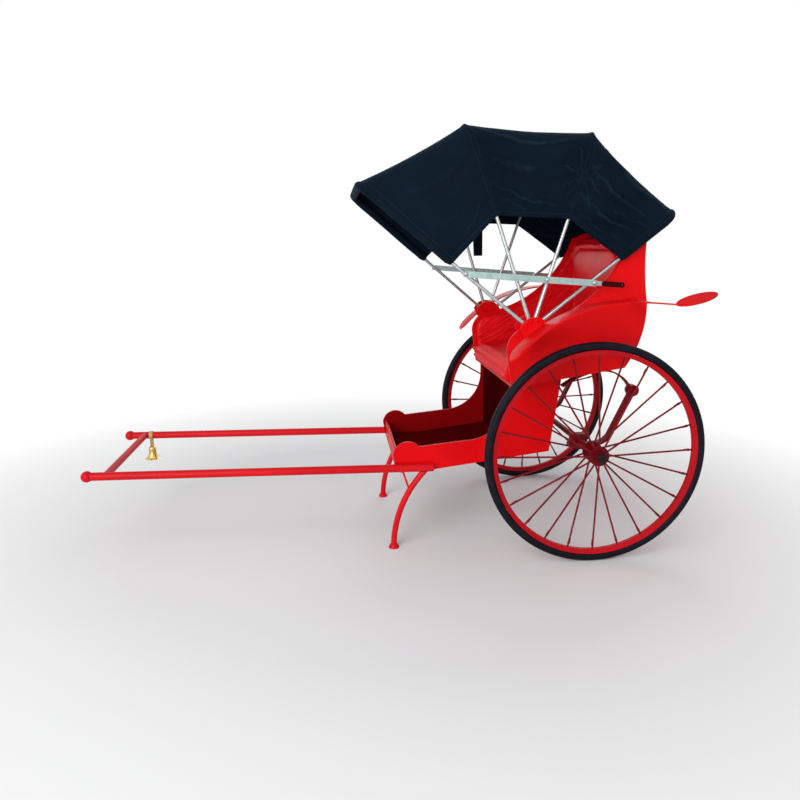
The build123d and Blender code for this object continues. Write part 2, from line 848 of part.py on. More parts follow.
for side_name, side in SIDES:
    with BuildPart() as stay_rear_link:
        plane = span(side, rear_link_y, stay_outer_y)
        with BuildSketch(plane):
            with Locations(Location(along_stay(stay_rear_length / 2), stay_turn)):
                SlotCenterToCenter(stay_rear_length, stay_width)
            with Locations(Location(along_stay(-lever_length / 2), stay_turn)):
                Rectangle(lever_length, lever_width)
            with Locations(along_stay(0)):
                Circle(stay_pin_diameter / 2 + seat_gap, mode=Mode.SUBTRACT)
            with Locations(along_stay(grip_length / 10 - lever_length)):
                Circle(grip_hole / 2, mode=Mode.SUBTRACT)
        extrude(amount=stay_thickness)
        with BuildSketch(span(side, front_link_y - running_gap, stay_outer_y)):
            with Locations(along_stay(stay_rear_length)):
                Circle(stay_pin_diameter / 2)
        extrude(amount=stay_outer_y - front_link_y + running_gap)
    finish(stay_rear_link, f"stay_rear_link_{side_name}")

    with BuildPart() as stay_grip:
        with BuildSketch(span(side, stay_outer_y, stay_outer_y + grip_thickness)):
            with Locations(Location(along_stay(grip_length / 2 - lever_length), stay_turn)):
                SlotOverall(grip_length, grip_width)
            with Locations(along_stay(grip_length / 10 - lever_length)):
                Circle(grip_hole / 2, mode=Mode.SUBTRACT)
        extrude(amount=grip_thickness)
    finish(stay_grip, f"stay_grip_{side_name}")

    with BuildPart() as stay_front_link:
        with BuildSketch(span(side, front_link_y, front_link_y + stay_thickness)):
            with Locations(Location(along_stay(stay_rear_length + stay_front_length / 2), stay_turn)):
                SlotCenterToCenter(stay_front_length, stay_width)
            with Locations(along_stay(stay_rear_length)):
                Circle(stay_pin_diameter / 2 + seat_gap, mode=Mode.SUBTRACT)
        extrude(amount=stay_thickness)
        rivet_foot = front_leg_face + running_gap / 2
        with BuildSketch(span(side, rivet_foot, front_link_y)):
            with Locations(along_stay(stay_span)):
                Circle(stay_pin_diameter / 2)
        extrude(amount=front_link_y - rivet_foot)
    finish(stay_front_link, f"stay_front_link_{side_name}")


# Fenders: a curved strip over each wheel that narrows to a stem and ends in a tilted leaf
fender_radius = wheel_radius + fender_clearance


def fender_arch(x):
    """Height of the fender's middle line at x over the centre of its curve."""
    return sqrt(fender_radius ** 2 - (x - fender_centre_x) ** 2)


fender_centre_z = pivot_z + front_lug_rise - fender_arch(front_lug_x)
fender_tip_x = fender_centre_x + fender_radius * cos(radians(fender_front_angle))
fender_stem = (
    fender_centre_x + fender_radius * cos(radians(fender_rear_angle)),
    fender_centre_z + fender_radius * sin(radians(fender_rear_angle)),
)
stem_grade = -1 / tan(radians(fender_rear_angle))
stem_end_z = fender_stem[1] + (stem_end_x - fender_stem[0]) * stem_grade


def fender_plan(side):
    """Outline of the fender from above in the current sketch."""
    middle = side * wheel_y
    half = fender_width / 2
    stem = stem_width / 2
    shoulder_x = fender_tip_x + fender_tip_length
    with BuildLine() as outline:
        ThreePointArc((axle_x + shoulder_x, middle - half), (axle_x + fender_tip_x, middle),
                      (axle_x + shoulder_x, middle + half))
        Polyline(
            (axle_x + shoulder_x, middle + half),
            (axle_x + fender_taper_start_x, middle + half),
            (axle_x + fender_taper_end_x, middle + stem),
            (axle_x + stem_end_x, middle + stem),
            (axle_x + stem_end_x, middle - stem),
            (axle_x + fender_taper_end_x, middle - stem),
            (axle_x + fender_taper_start_x, middle - half),
            (axle_x + shoulder_x, middle - half),
        )
    make_face(outline.edges())


for side_name, side in SIDES:
    with BuildPart() as fender:
        with BuildSketch(span(side, wheel_y - fender_width / 2, wheel_y + fender_width / 2)):
            with BuildLine():
                CenterArc(at(fender_centre_x, fender_centre_z), fender_radius, fender_rear_angle,
                          fender_front_angle - fender_rear_angle)
                Line(at(*fender_stem), at(stem_end_x, stem_end_z))
            trace(line_width=fender_thickness)
        extrude(amount=fender_width)
        with BuildSketch(Plane.XY):
            fender_plan(side)
        extrude(amount=wheel_diameter * 2, mode=Mode.INTERSECT)
        leaf_middle = at(stem_end_x + leaf_reach / 2 - stem_width / 2,
                         stem_end_z + leaf_length / 2 * sin(leaf_angle))
        tilt = radians(leaf_tilt)
        along = Vector(cos(leaf_angle), 0, sin(leaf_angle))
        across = Vector(0, -side * cos(tilt), sin(tilt))
        with BuildSketch(Plane(origin=(leaf_middle[0], side * wheel_y, leaf_middle[1]),
                               x_dir=along, z_dir=along.cross(across))):
            Ellipse(leaf_length / 2, leaf_width / 2)
        extrude(amount=fender_thickness / 2, both=True)
        for lug_x, carrier, reach in (
            (front_lug_x, seat_half + bracket_wide, fender_width / 4),
            (rear_lug_x, seat_half, fender_width / 2),
        ):
            lug_z = fender_centre_z + fender_arch(lug_x) if lug_x < fender_stem[0] else (
                fender_stem[1] + (lug_x - fender_stem[0]) * stem_grade)
            lug_end = wheel_y - fender_width / 2 + reach
            with BuildSketch(span(side, carrier, lug_end)):
                with Locations(at(lug_x, lug_z)):
                    Rectangle(lug_width, fender_thickness)
            extrude(amount=lug_end - carrier)
    finish(fender, f"fender_{side_name}")
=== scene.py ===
# %% [markdown]
# A hand-pulled rickshaw in red enamel, with a blue-black hood on bright metal bows.
# The CAD model is loaded as a fixed frame. Hard pieces keep their CAD shape and get a finish;
# soft pieces, seams, hems and small fasteners are made here, in metres, in the same frame.

# %% Load the frame
import json
import math

import bmesh
import bpy
import numpy as np
from mathutils import Matrix, Vector, noise


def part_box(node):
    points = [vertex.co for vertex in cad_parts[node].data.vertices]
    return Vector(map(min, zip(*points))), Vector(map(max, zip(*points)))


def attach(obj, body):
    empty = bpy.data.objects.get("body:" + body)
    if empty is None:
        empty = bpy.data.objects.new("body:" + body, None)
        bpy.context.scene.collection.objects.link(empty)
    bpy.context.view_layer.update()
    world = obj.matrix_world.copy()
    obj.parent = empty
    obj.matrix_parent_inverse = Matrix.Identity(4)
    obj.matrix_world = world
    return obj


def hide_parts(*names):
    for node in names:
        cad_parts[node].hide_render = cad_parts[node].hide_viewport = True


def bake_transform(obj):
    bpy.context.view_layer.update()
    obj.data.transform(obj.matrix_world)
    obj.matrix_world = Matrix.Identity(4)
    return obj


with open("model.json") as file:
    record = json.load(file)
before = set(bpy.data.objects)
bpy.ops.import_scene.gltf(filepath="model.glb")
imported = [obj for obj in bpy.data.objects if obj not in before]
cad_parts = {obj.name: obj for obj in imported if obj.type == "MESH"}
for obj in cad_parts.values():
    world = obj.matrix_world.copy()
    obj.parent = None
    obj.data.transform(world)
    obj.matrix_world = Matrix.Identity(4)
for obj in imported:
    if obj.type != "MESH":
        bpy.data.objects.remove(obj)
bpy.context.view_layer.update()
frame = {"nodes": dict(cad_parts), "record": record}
scene = bpy.context.scene
joint_at = {j["name"]: Vector(j["pos_m"]) for j in frame["record"]["behaviour"]["joints"]}

# %% [markdown]
# Everything is placed from a few points that the frame gives: the axle, the pivot that all the hood's
# bows turn about, and the boxes of the seat's pads. The bows' own sizes are repeated from the CAD
# source, because the cloth is drawn over them.

# %% Places and sizes of the hood
low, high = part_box("axle")
axle = (Vector(low) + Vector(high)) / 2
pivot = joint_at["hood_fold"]
seat_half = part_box("seat_side_right")[1][1]
bow_radius = 0.007
bow_corner = 0.070
bow_foot_reach = 0.014
corner_points = 25
cloth_gap = 0.0055
cloth_stand = bow_radius + cloth_gap
stack_gap = 0.014
stack_start = seat_half + stack_gap
stack_pitch = 0.019

BOWS = {
    "rear": dict(body="chassis", angle=37.7, reach=0.715, outset=0.012, cloth=0.435, stack=0),
    "third": dict(body="hood_third", angle=71.6, reach=0.765, outset=0.003, cloth=0.440, stack=1),
    "second": dict(body="hood_second", angle=107.5, reach=0.793, outset=-0.005, cloth=0.452, stack=2),
    "front": dict(body="hood_front", angle=139.3, reach=0.843, outset=-0.013, cloth=0.400, stack=3),
}


def leg_side(bow, reach):
    """Distance of a bow's leg from the middle at a reach from the pivot."""
    foot = stack_start + bow["stack"] * stack_pitch
    share = (reach - bow_foot_reach) / (bow["reach"] - bow_foot_reach)
    return foot + (seat_half + bow["outset"] - foot) * share


def on_bow(bow, side, reach):
    """A point in a bow's plane: side across the vehicle, reach away from the pivot."""
    angle = math.radians(bow["angle"])
    return pivot + Vector((reach * math.cos(angle), side, reach * math.sin(angle)))


def bow_line(bow, stand, count):
    """Evenly spaced points along a bow from one cloth edge over the crown to the other."""
    corner = bow_corner + stand
    top = bow["reach"] + stand
    half = seat_half + bow["outset"] + stand
    edge = leg_side(bow, bow["cloth"]) + stand
    foot = np.array([edge, bow["cloth"]])
    crown = np.array([half, top])
    along = (crown - foot) / np.linalg.norm(crown - foot)
    bend = math.pi / 2 - math.atan2(edge - half, top - bow["cloth"])
    setback = corner * math.tan(bend / 2)
    arc_start = crown - along * setback
    centre = np.array([half - setback, top - corner])
    first = math.atan2(arc_start[1] - centre[1], arc_start[0] - centre[0])
    arc = [centre + corner * np.array([math.cos(a), math.sin(a)])
           for a in np.linspace(first, math.pi / 2, corner_points)]
    right = [foot] + arc
    path = np.array([[-x, y] for x, y in right] + [list(p) for p in reversed(right)])
    length = np.concatenate([[0], np.cumsum(np.linalg.norm(np.diff(path, axis=0), axis=1))])
    spots = np.linspace(0, length[-1], count)
    sides = np.interp(spots, length, path[:, 0])
    reaches = np.interp(spots, length, path[:, 1])
    return [on_bow(bow, s, r) for s, r in zip(sides, reaches)], float(length[-1])


print("pivot", pivot[:], "axle", axle[:])

# %% [markdown]
# Finishes are node materials on Object coordinates. A surface of one flat colour looks false, so a few
# helpers add what nearly all real surfaces have: a colour and a gloss that wander a little, and a fine
# bump. All nodes are added by one helper, which sets their inputs or links them, so that each finish
# reads as a short recipe.


# %% Material helpers
def add_node(tree, kind, inputs=None, **settings):
    """A new node: its settings first, then its inputs, each a value or another node's output."""
    node = tree.nodes.new(kind)
    for label, value in settings.items():
        setattr(node, label, value)
    for label, value in (inputs or {}).items():
        if isinstance(value, bpy.types.NodeSocket):
            tree.links.new(value, node.inputs[label])
        else:
            node.inputs[label].default_value = value
    return node


def computed(tree, operation, *values):
    """The output of a Math node on values or other nodes' outputs."""
    return add_node(tree, "ShaderNodeMath", dict(enumerate(values)), operation=operation).outputs["Value"]


def start_material(name, colour, roughness, metallic=0.0, extra=None):
    """A new Principled material: returns it with its tree and shader."""
    material = bpy.data.materials.new(name)
    material.use_nodes = True
    tree = material.node_tree
    shader = tree.nodes["Principled BSDF"]
    given = {"Base Color": (*colour, 1), "Roughness": roughness, "Metallic": metallic, **(extra or {})}
    for label, value in given.items():
        shader.inputs[label].default_value = value
    material.diffuse_color = (*colour, 1)
    return material, tree, shader


def object_noise(tree, scale, detail=4.0, stretch=(1, 1, 1)):
    """The value of a noise on the piece's own coordinates."""
    place = add_node(tree, "ShaderNodeTexCoord").outputs["Object"]
    mapping = add_node(tree, "ShaderNodeMapping", {"Vector": place, "Scale": stretch})
    texture = add_node(tree, "ShaderNodeTexNoise",
                       {"Vector": mapping.outputs["Vector"], "Scale": scale, "Detail": detail})
    return texture.outputs["Fac"]


def object_cells(tree, scale):
    """The distance from the middle of the nearest cell, on the piece's own coordinates."""
    place = add_node(tree, "ShaderNodeTexCoord").outputs["Object"]
    return add_node(tree, "ShaderNodeTexVoronoi", {"Vector": place, "Scale": scale}).outputs["Distance"]


def ramp(tree, value, stops):
    """A colour that runs with a value, through (position, colour) stops."""
    node = add_node(tree, "ShaderNodeValToRGB", {"Fac": value})
    elements = node.color_ramp.elements
    while len(elements) < len(stops):
        elements.new(0.5)
    for element, (position, colour) in zip(elements, stops):
        element.position = position
        element.color = (*colour, 1)
    return node.outputs["Color"]


def tint(tree, shader, value, stops):
    """Colour a shader by a ramp over a value."""
    tree.links.new(ramp(tree, value, stops), shader.inputs["Base Color"])


def add_bump(tree, shader, height, strength, distance=0.001):
    """A bump from a height, on top of any bump that is there already."""
    normal = shader.inputs["Normal"]
    inputs = {"Height": height, "Strength": strength, "Distance": distance}
    if normal.is_linked:
        inputs["Normal"] = normal.links[0].from_socket
    tree.links.new(add_node(tree, "ShaderNodeBump", inputs).outputs["Normal"], normal)


def vary_roughness(tree, shader, value, low_rough, high_rough):
    """Roughness that runs between two values with a texture."""
    span = add_node(tree, "ShaderNodeMapRange", {"Value": value, "To Min": low_rough, "To Max": high_rough})
    tree.links.new(span.outputs["Result"], shader.inputs["Roughness"])


print("material helpers ready")


# %% [markdown]
# Red enamel is brushed and sprayed over steel sheet: a deep even red, a clear gloss, a faint orange
# peel, and a duller film where hands and dust have been. The wheels and ironwork get deeper reds,
# darkest on the spokes, hubs and the ironwork under the body.


# %% Enamel finishes
coat_share = 0.4


def enamel(name, colour, deep, gloss, shine=0.09, inner=None, inner_half=0.0):
    """Painted steel: colour that wanders to a deeper tone, a gloss and a fine orange peel.

    With an inner tone, faces nearer to the middle than inner_half are painted with that instead."""
    material, tree, shader = start_material(name, colour, gloss, extra={
        "Specular IOR Level": shine, "Coat Weight": shine * coat_share, "Coat Roughness": 0.12})
    tone = ramp(tree, object_noise(tree, 3.5, 5), [(0.32, deep), (0.62, colour)])
    if inner:
        place = add_node(tree, "ShaderNodeTexCoord").outputs["Object"]
        sideways = add_node(tree, "ShaderNodeSeparateXYZ", {"Vector": place}).outputs["Y"]
        outside = computed(tree, "GREATER_THAN", computed(tree, "ABSOLUTE", sideways), inner_half)
        tone = add_node(tree, "ShaderNodeMix", {"Factor": outside, "A": (*inner, 1), "B": tone},
                        data_type="RGBA").outputs["Result"]
    tree.links.new(tone, shader.inputs["Base Color"])
    vary_roughness(tree, shader, object_noise(tree, 14, 6), gloss - 0.08, gloss + 0.14)
    add_bump(tree, shader, object_noise(tree, 260, 2), 0.05)
    return material


panel_red = (0.80, 0.003, 0.005)
panel_deep = (0.66, 0.002, 0.004)
# The footwell's inside is maroon paint darkened with painted shade; the floor and the riser are darker
# still, which is painted shade.
inner_maroon_and_shade = (0.26, 0.0015, 0.003)
floor_maroon_and_shade = (0.12, 0.0012, 0.003)
riser_maroon_and_shade = (0.060, 0.0008, 0.0015)
footwell_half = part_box("footwell_side_right")[1][1]
sheet_thick = footwell_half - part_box("footwell_side_right")[0][1]
inner_paint_edge = footwell_half - sheet_thick * 0.45
body_red = enamel("body_red_enamel", panel_red, panel_deep, 0.36)
# The footwell sides are red outside and maroon with painted shade on their inner faces.
footwell_red = enamel("footwell_red_enamel", panel_red, panel_deep, 0.36, 0.05, inner_maroon_and_shade,
                      inner_paint_edge)
floor_enamel_and_shade = enamel("footwell_floor_enamel_and_shade", floor_maroon_and_shade, (0.075, 0.0008, 0.002), 0.62, 0.0)
riser_enamel_and_shade = enamel("footwell_riser_enamel_and_shade", riser_maroon_and_shade, (0.036, 0.0006, 0.001), 0.62, 0.0)
shaft_red = enamel("shaft_red_enamel", (0.68, 0.008, 0.014), (0.54, 0.005, 0.010), 0.32)
wheel_red = enamel("wheel_red_enamel", (0.52, 0.005, 0.012), (0.34, 0.003, 0.007), 0.36)
spoke_red = enamel("spoke_red_enamel", (0.20, 0.005, 0.011), (0.12, 0.003, 0.007), 0.36)
hub_red = enamel("hub_red_enamel", (0.16, 0.003, 0.006), (0.09, 0.002, 0.004), 0.42)
iron_red = enamel("ironwork_red_enamel", (0.20, 0.004, 0.007), (0.11, 0.002, 0.004), 0.42)
nut_dark = enamel("axle_nut_enamel", (0.022, 0.008, 0.010), (0.012, 0.005, 0.006), 0.40)
grip_dark = enamel("lever_grip_enamel", (0.030, 0.002, 0.004), (0.014, 0.001, 0.002), 0.36, 0.06)
print("enamels made, inner paint up to", round(inner_paint_edge, 4))

# %% [markdown]
# The tyres are black rubber with dust on it. The bows are galvanised tube, whose zinc sets in small
# flakes, so a pattern of cells colours it. The stays are plated flat bar with a bloom, the bell is brass
# that tarnishes where it isn't rubbed, and it hangs on a tan strap.

# %% Rubber, metal and strap finishes
tyre_black, tree, shader = start_material("tyre_rubber", (0.008, 0.007, 0.013), 0.62,
                                          extra={"Specular IOR Level": 0.12})
dust = object_noise(tree, 18, 6)
tint(tree, shader, dust, [(0.4, (0.004, 0.0035, 0.008)), (0.75, (0.011, 0.010, 0.018))])
vary_roughness(tree, shader, dust, 0.45, 0.68)
add_bump(tree, shader, object_noise(tree, 420, 3), 0.25)

galvanised, tree, shader = start_material("galvanised_tube", (0.48, 0.52, 0.52), 0.34, 1.0)
tint(tree, shader, object_cells(tree, 95),
     [(0.0, (0.52, 0.56, 0.56)), (0.6, (0.44, 0.48, 0.48)), (1.0, (0.36, 0.40, 0.40))])
vary_roughness(tree, shader, object_noise(tree, 40, 5), 0.26, 0.46)
add_bump(tree, shader, object_noise(tree, 180, 3), 0.08)

zinc_plate, tree, shader = start_material("zinc_stay", (0.42, 0.57, 0.55), 0.42, 0.7)
bloom = object_noise(tree, 60, 6)
tint(tree, shader, bloom,
     [(0.30, (0.35, 0.50, 0.48)), (0.55, (0.42, 0.57, 0.55)), (0.8, (0.50, 0.63, 0.61))])
vary_roughness(tree, shader, bloom, 0.32, 0.55)
add_bump(tree, shader, bloom, 0.12)

brass, tree, shader = start_material("polished_brass", (0.80, 0.56, 0.20), 0.24, 1.0)
tarnish = object_noise(tree, 55, 6)
tint(tree, shader, tarnish,
     [(0.30, (0.46, 0.27, 0.07)), (0.52, (0.80, 0.56, 0.20)), (0.8, (0.90, 0.70, 0.33))])
vary_roughness(tree, shader, tarnish, 0.16, 0.40)

strap_tan, tree, shader = start_material("tan_strap", (0.55, 0.38, 0.15), 0.6)
grain = object_noise(tree, 220, 5)
tint(tree, shader, grain, [(0.35, (0.36, 0.22, 0.07)), (0.65, (0.62, 0.45, 0.18))])
add_bump(tree, shader, grain, 0.3)
print("rubber, metal and strap finishes made")

# %% [markdown]
# The hood is a coated cotton cloth, nearly black with a blue cast. Its weave is drawn on the panels'
# own UV map, which is laid out in metres, so threads stay the same size on every panel. The ridges of
# its folds get a painted highlight and its troughs a painted shade: each panel keeps the height of its
# folds as an attribute, and the colour follows that. The seat is red vinyl: a soft gloss, a pebble
# grain, and pulled creases that come from the mesh.


# %% Cloth and vinyl finishes
ridge_painted_highlight = (0.0042, 0.0120, 0.0150)
trough_painted_shade = (0.35, 0.40, 0.45)


def hood_fabric(name, colour, lighter):
    """Blue-black coated cloth with a plain weave on the UV map."""
    material, tree, shader = start_material(name, colour, 0.78, extra={
        "Specular IOR Level": 0.05, "Sheen Weight": 0.04, "Sheen Roughness": 0.45,
        "Sheen Tint": (0.30, 0.48, 0.70, 1)})
    fade = object_noise(tree, 5.0, 6)
    tone = ramp(tree, fade, [(0.35, colour), (0.72, lighter)])
    # Painted highlight on the folds' ridges and painted shade in their troughs, from the fold_height
    # attribute.
    fold = add_node(tree, "ShaderNodeAttribute", attribute_name="fold_height").outputs["Fac"]
    patchy = ramp(tree, object_noise(tree, 34, 5), [(0.30, (0.35,) * 3), (0.62, (1.0,) * 3)])
    broken = computed(tree, "MULTIPLY", fold, patchy)
    for start, full, way, painted_light_tone in ((0.12, 1, "ADD", ridge_painted_highlight), (0, -1, "MULTIPLY", trough_painted_shade)):
        amount = add_node(tree, "ShaderNodeMapRange",
                          {"Value": broken, "From Min": start, "From Max": full})
        tone = add_node(tree, "ShaderNodeMix",
                        {"Factor": amount.outputs["Result"], "A": tone, "B": (*painted_light_tone, 1)},
                        data_type="RGBA", blend_type=way).outputs["Result"]
    tree.links.new(tone, shader.inputs["Base Color"])
    vary_roughness(tree, shader, fade, 0.66, 0.88)
    place = add_node(tree, "ShaderNodeTexCoord").outputs["UV"]
    weave = {"Vector": place, "Scale": 130, "Distortion": 0.6, "Detail": 1}
    threads = [add_node(tree, "ShaderNodeTexWave", weave, bands_direction=direction).outputs["Fac"]
               for direction in ("X", "Y")]
    add_bump(tree, shader, computed(tree, "MULTIPLY", *threads), 0.22)
    add_bump(tree, shader, object_noise(tree, 26, 4), 0.20, 0.005)
    return material


hood_cloth = hood_fabric("hood_cloth", (0.0016, 0.0058, 0.0130), (0.0034, 0.0105, 0.0195))
hem_cloth = hood_fabric("hood_hem_cloth", (0.0020, 0.0064, 0.0130), (0.0040, 0.0110, 0.0190))
thread_blue = hood_fabric("hood_thread", (0.012, 0.024, 0.042), (0.020, 0.036, 0.058))


def vinyl(name, shine):
    """Red pebbled vinyl: shine is how strongly it reflects, which differs with how rubbed a pad is."""
    material, tree, shader = start_material(name, (0.88, 0.005, 0.010), 0.34, extra={
        "Specular IOR Level": shine, "Coat Weight": shine * coat_share, "Coat Roughness": 0.2})
    tint(tree, shader, object_noise(tree, 6, 5), [(0.3, (0.74, 0.004, 0.009)), (0.7, (0.96, 0.008, 0.015))])
    vary_roughness(tree, shader, object_noise(tree, 30, 4), 0.26, 0.46)
    add_bump(tree, shader, object_cells(tree, 420), 0.16, 0.0008)
    add_bump(tree, shader, object_noise(tree, 42, 3, (1, 1, 0.45)), 0.2, 0.003)
    return material


cushion_vinyl = vinyl("cushion_vinyl", 0.045)
back_vinyl = vinyl("backrest_vinyl", 0.22)
lining_vinyl = vinyl("lining_vinyl", 0.13)
print("soft finishes made")

# %% [markdown]
# The CAD nodes take their finish by name. Sheet steel never has a knife edge, so the panels get a Weld
# and a Bevel modifier: the CAD mesh itself stays as it is.

# %% Finish the CAD nodes
FINISHES = [
    ("tyre", tyre_black), ("rim", wheel_red), ("spokes", spoke_red), ("hub", hub_red),
    ("footwell_side", footwell_red), ("footwell_floor", floor_enamel_and_shade), ("riser_front", riser_enamel_and_shade),
    ("axle_nuts", nut_dark), ("axle", iron_red), ("spring", iron_red), ("leg", shaft_red),
    ("shaft", shaft_red), ("crossbar", shaft_red), ("hood_bow", galvanised), ("stay_grip", grip_dark),
    ("stay", zinc_plate), ("bell_strap", strap_tan), ("bell", brass), ("hood_cloth", hood_cloth),
    ("seat_cushion", cushion_vinyl), ("backrest", back_vinyl), ("arm_lining", lining_vinyl),
    ("", body_red),
]
SOFTENED = ("seat_side", "footwell", "front_board", "riser", "back_panel", "fender", "hood_bracket",
            "spring", "axle_clamp", "stay", "axle_nuts")
ROLLED = ("seat_side", "footwell_side", "front_board")
rolled_edge = 0.0050
sheet_round = 0.0022
stay_round = 0.0010
weld_gap = 0.00002
sharp_edge = math.radians(38)


def soften(piece, width):
    """Round a piece's edges over its CAD mesh."""
    weld = piece.modifiers.new("weld", "WELD")
    weld.merge_threshold = weld_gap
    bevel = piece.modifiers.new("rounded_edges", "BEVEL")
    bevel.width = width
    bevel.segments = 3
    bevel.limit_method = "ANGLE"
    bevel.angle_limit = sharp_edge
    bevel.harden_normals = False


for name, node in frame["nodes"].items():
    finish = next(material for start, material in FINISHES if name.startswith(start))
    node.data.materials.clear()
    node.data.materials.append(finish)
    if name.startswith(ROLLED):
        soften(node, rolled_edge)
    elif name.startswith(SOFTENED):
        soften(node, stay_round if name.startswith("stay") else sheet_round)
print("finishes on", len(frame["nodes"]), "nodes")

# %% [markdown]
# The hood's cloth is stretched over four bows, and its sides gather in folds that run from bow to bow.
# Pulled cloth folds in a few clear lines, so the large folds are drawn as bent lines, each pushed up into
# a ridge with a trough on both sides. Noise adds the small unevenness.

# %% Draw the hood's folds
# A fold's start, bend and end are given as a share of the way between the panel's two bows and a height
# above the lower edge in metres, followed by its half width and its rise.
FOLDS = {
    "hood_panel_rear": [
        ((0.97, 0.165), (0.85, 0.160), (0.68, 0.125), 0.009, 0.0050),
        ((0.97, 0.150), (0.88, 0.115), (0.76, 0.070), 0.008, 0.0040),
        ((0.97, 0.185), (0.90, 0.210), (0.78, 0.240), 0.009, 0.0045),
        ((0.94, 0.205), (0.60, 0.165), (0.14, 0.190), 0.016, 0.0065),
        ((0.96, 0.100), (0.55, 0.065), (0.10, 0.120), 0.015, 0.0065),
        ((0.92, 0.050), (0.60, 0.025), (0.20, 0.060), 0.011, 0.0045),
        ((0.82, 0.310), (0.50, 0.240), (0.12, 0.275), 0.018, 0.0060),
        ((0.55, 0.130), (0.30, 0.135), (0.06, 0.160), 0.010, 0.0045),
    ],
    "hood_panel_top": [
        ((0.93, 0.340), (0.53, 0.240), (0.15, 0.310), 0.019, 0.0060),
        ((0.97, 0.135), (0.60, 0.045), (0.18, 0.048), 0.013, 0.0055),
        ((0.96, 0.090), (0.70, 0.025), (0.36, 0.024), 0.009, 0.0035),
        ((0.86, 0.210), (0.60, 0.165), (0.28, 0.200), 0.022, 0.0040),
        ((0.03, 0.165), (0.10, 0.185), (0.24, 0.200), 0.009, 0.0050),
        ((0.03, 0.150), (0.09, 0.145), (0.20, 0.122), 0.008, 0.0045),
        ((0.03, 0.135), (0.06, 0.105), (0.13, 0.075), 0.008, 0.0040),
        ((0.03, 0.185), (0.05, 0.225), (0.10, 0.270), 0.010, 0.0045),
    ],
    "hood_panel_front": [
        ((0.06, 0.270), (0.40, 0.200), (0.82, 0.290), 0.030, 0.0018),
        ((0.05, 0.100), (0.30, 0.050), (0.58, 0.026), 0.014, 0.0022),
        ((0.40, 0.120), (0.62, 0.090), (0.90, 0.130), 0.020, 0.0014),
    ],
}
fold_strength = 1.1
fold_narrow = 0.62
fold_waver = 0.010
fold_steps = 61


def drawn_folds(share, height, length, folds):
    """Rise of the drawn folds over a grid of places on one side of a panel."""
    rise_at = np.zeros(share.shape)
    steps = np.linspace(0, 1, fold_steps)
    for start, bend, end, width, rise in folds:
        line = (np.outer((1 - steps) ** 2, start) + np.outer(2 * steps * (1 - steps), bend)
                + np.outer(steps ** 2, end))
        waver = [noise.noise(Vector((7 * s, 40 * width, 90 * rise))) for s in steps]
        line[:, 1] += fold_waver * np.array(waver)
        gap = np.hypot((share[..., None] - line[:, 0]) * length, height[..., None] - line[:, 1])
        taper = np.sin(np.pi * np.clip(steps[gap.argmin(axis=-1)], 0.04, 0.96)) ** 0.6
        near = gap.min(axis=-1) / (width * fold_narrow)
        rise_at += fold_strength * rise * taper * (1 - near ** 2) * np.exp(-near ** 2)
    return rise_at


def small_folds(u, v, seed):
    """Height of the cloth's small unevenness at a place on a panel, from -1 to 1."""
    warp = noise.noise(Vector((u * 2.0, v * 6.0, seed + 4.1)))
    long_folds = noise.noise(Vector((u * 1.6 + warp * 0.5, v * 26.0 + warp * 2.2, seed)))
    diagonal = noise.noise(Vector((u * 5.0 + v * 9.0, v * 13.0 - u * 4.0, seed + 9.7)))
    fine = noise.noise(Vector((u * 11.0, v * 60.0, seed + 2.3)))
    return 0.62 * long_folds + 0.30 * diagonal + 0.10 * fine


print("folds drawn on each side", {name: len(folds) for name, folds in FOLDS.items()})

# %% [markdown]
# Each panel is a grid: one way along the bow's own line, the other way from bow to bow. Between two bows
# it spans straight and sags a little, and its lower edges are turned under and sewn. A simulation would
# give other folds each time a bow moved, so the grid is shaped by formulas.

# %% Build the hood's panels
ACROSS = 300
ROWS = 100
PANELS = [
    ("hood_panel_rear", "rear", "third", "hood_cloth_rear", 0.013, 0.0042, 11),
    ("hood_panel_top", "third", "second", "hood_cloth_top", 0.012, 0.0032, 23),
    ("hood_panel_front", "second", "front", "hood_cloth_front", 0.010, 0.0020, 37),
]
cloth_thickness = 0.0018
hem_band = 0.020
hem_rise = 0.0016
hem_start = 0.15
hem_groove = 0.0008
groove_end = 1.2
far_side_stretch = 1.12
full_fold = 0.0055
side_start = 0.46
side_fall = 1.15
side_sharpness = 3.2
crown_gather = 0.35
gather_ramp = 2.2
side_sag_loss = 0.45


def placed(name, data):
    """A new object of the scene for a mesh, lamp or camera."""
    piece = bpy.data.objects.new(name, data)
    scene.collection.objects.link(piece)
    return piece


def grid_faces(rows, columns):
    """The faces of a grid of points that is listed row by row."""
    return [(r * columns + c, r * columns + c + 1, (r + 1) * columns + c + 1, (r + 1) * columns + c)
            for r in range(rows - 1) for c in range(columns - 1)]


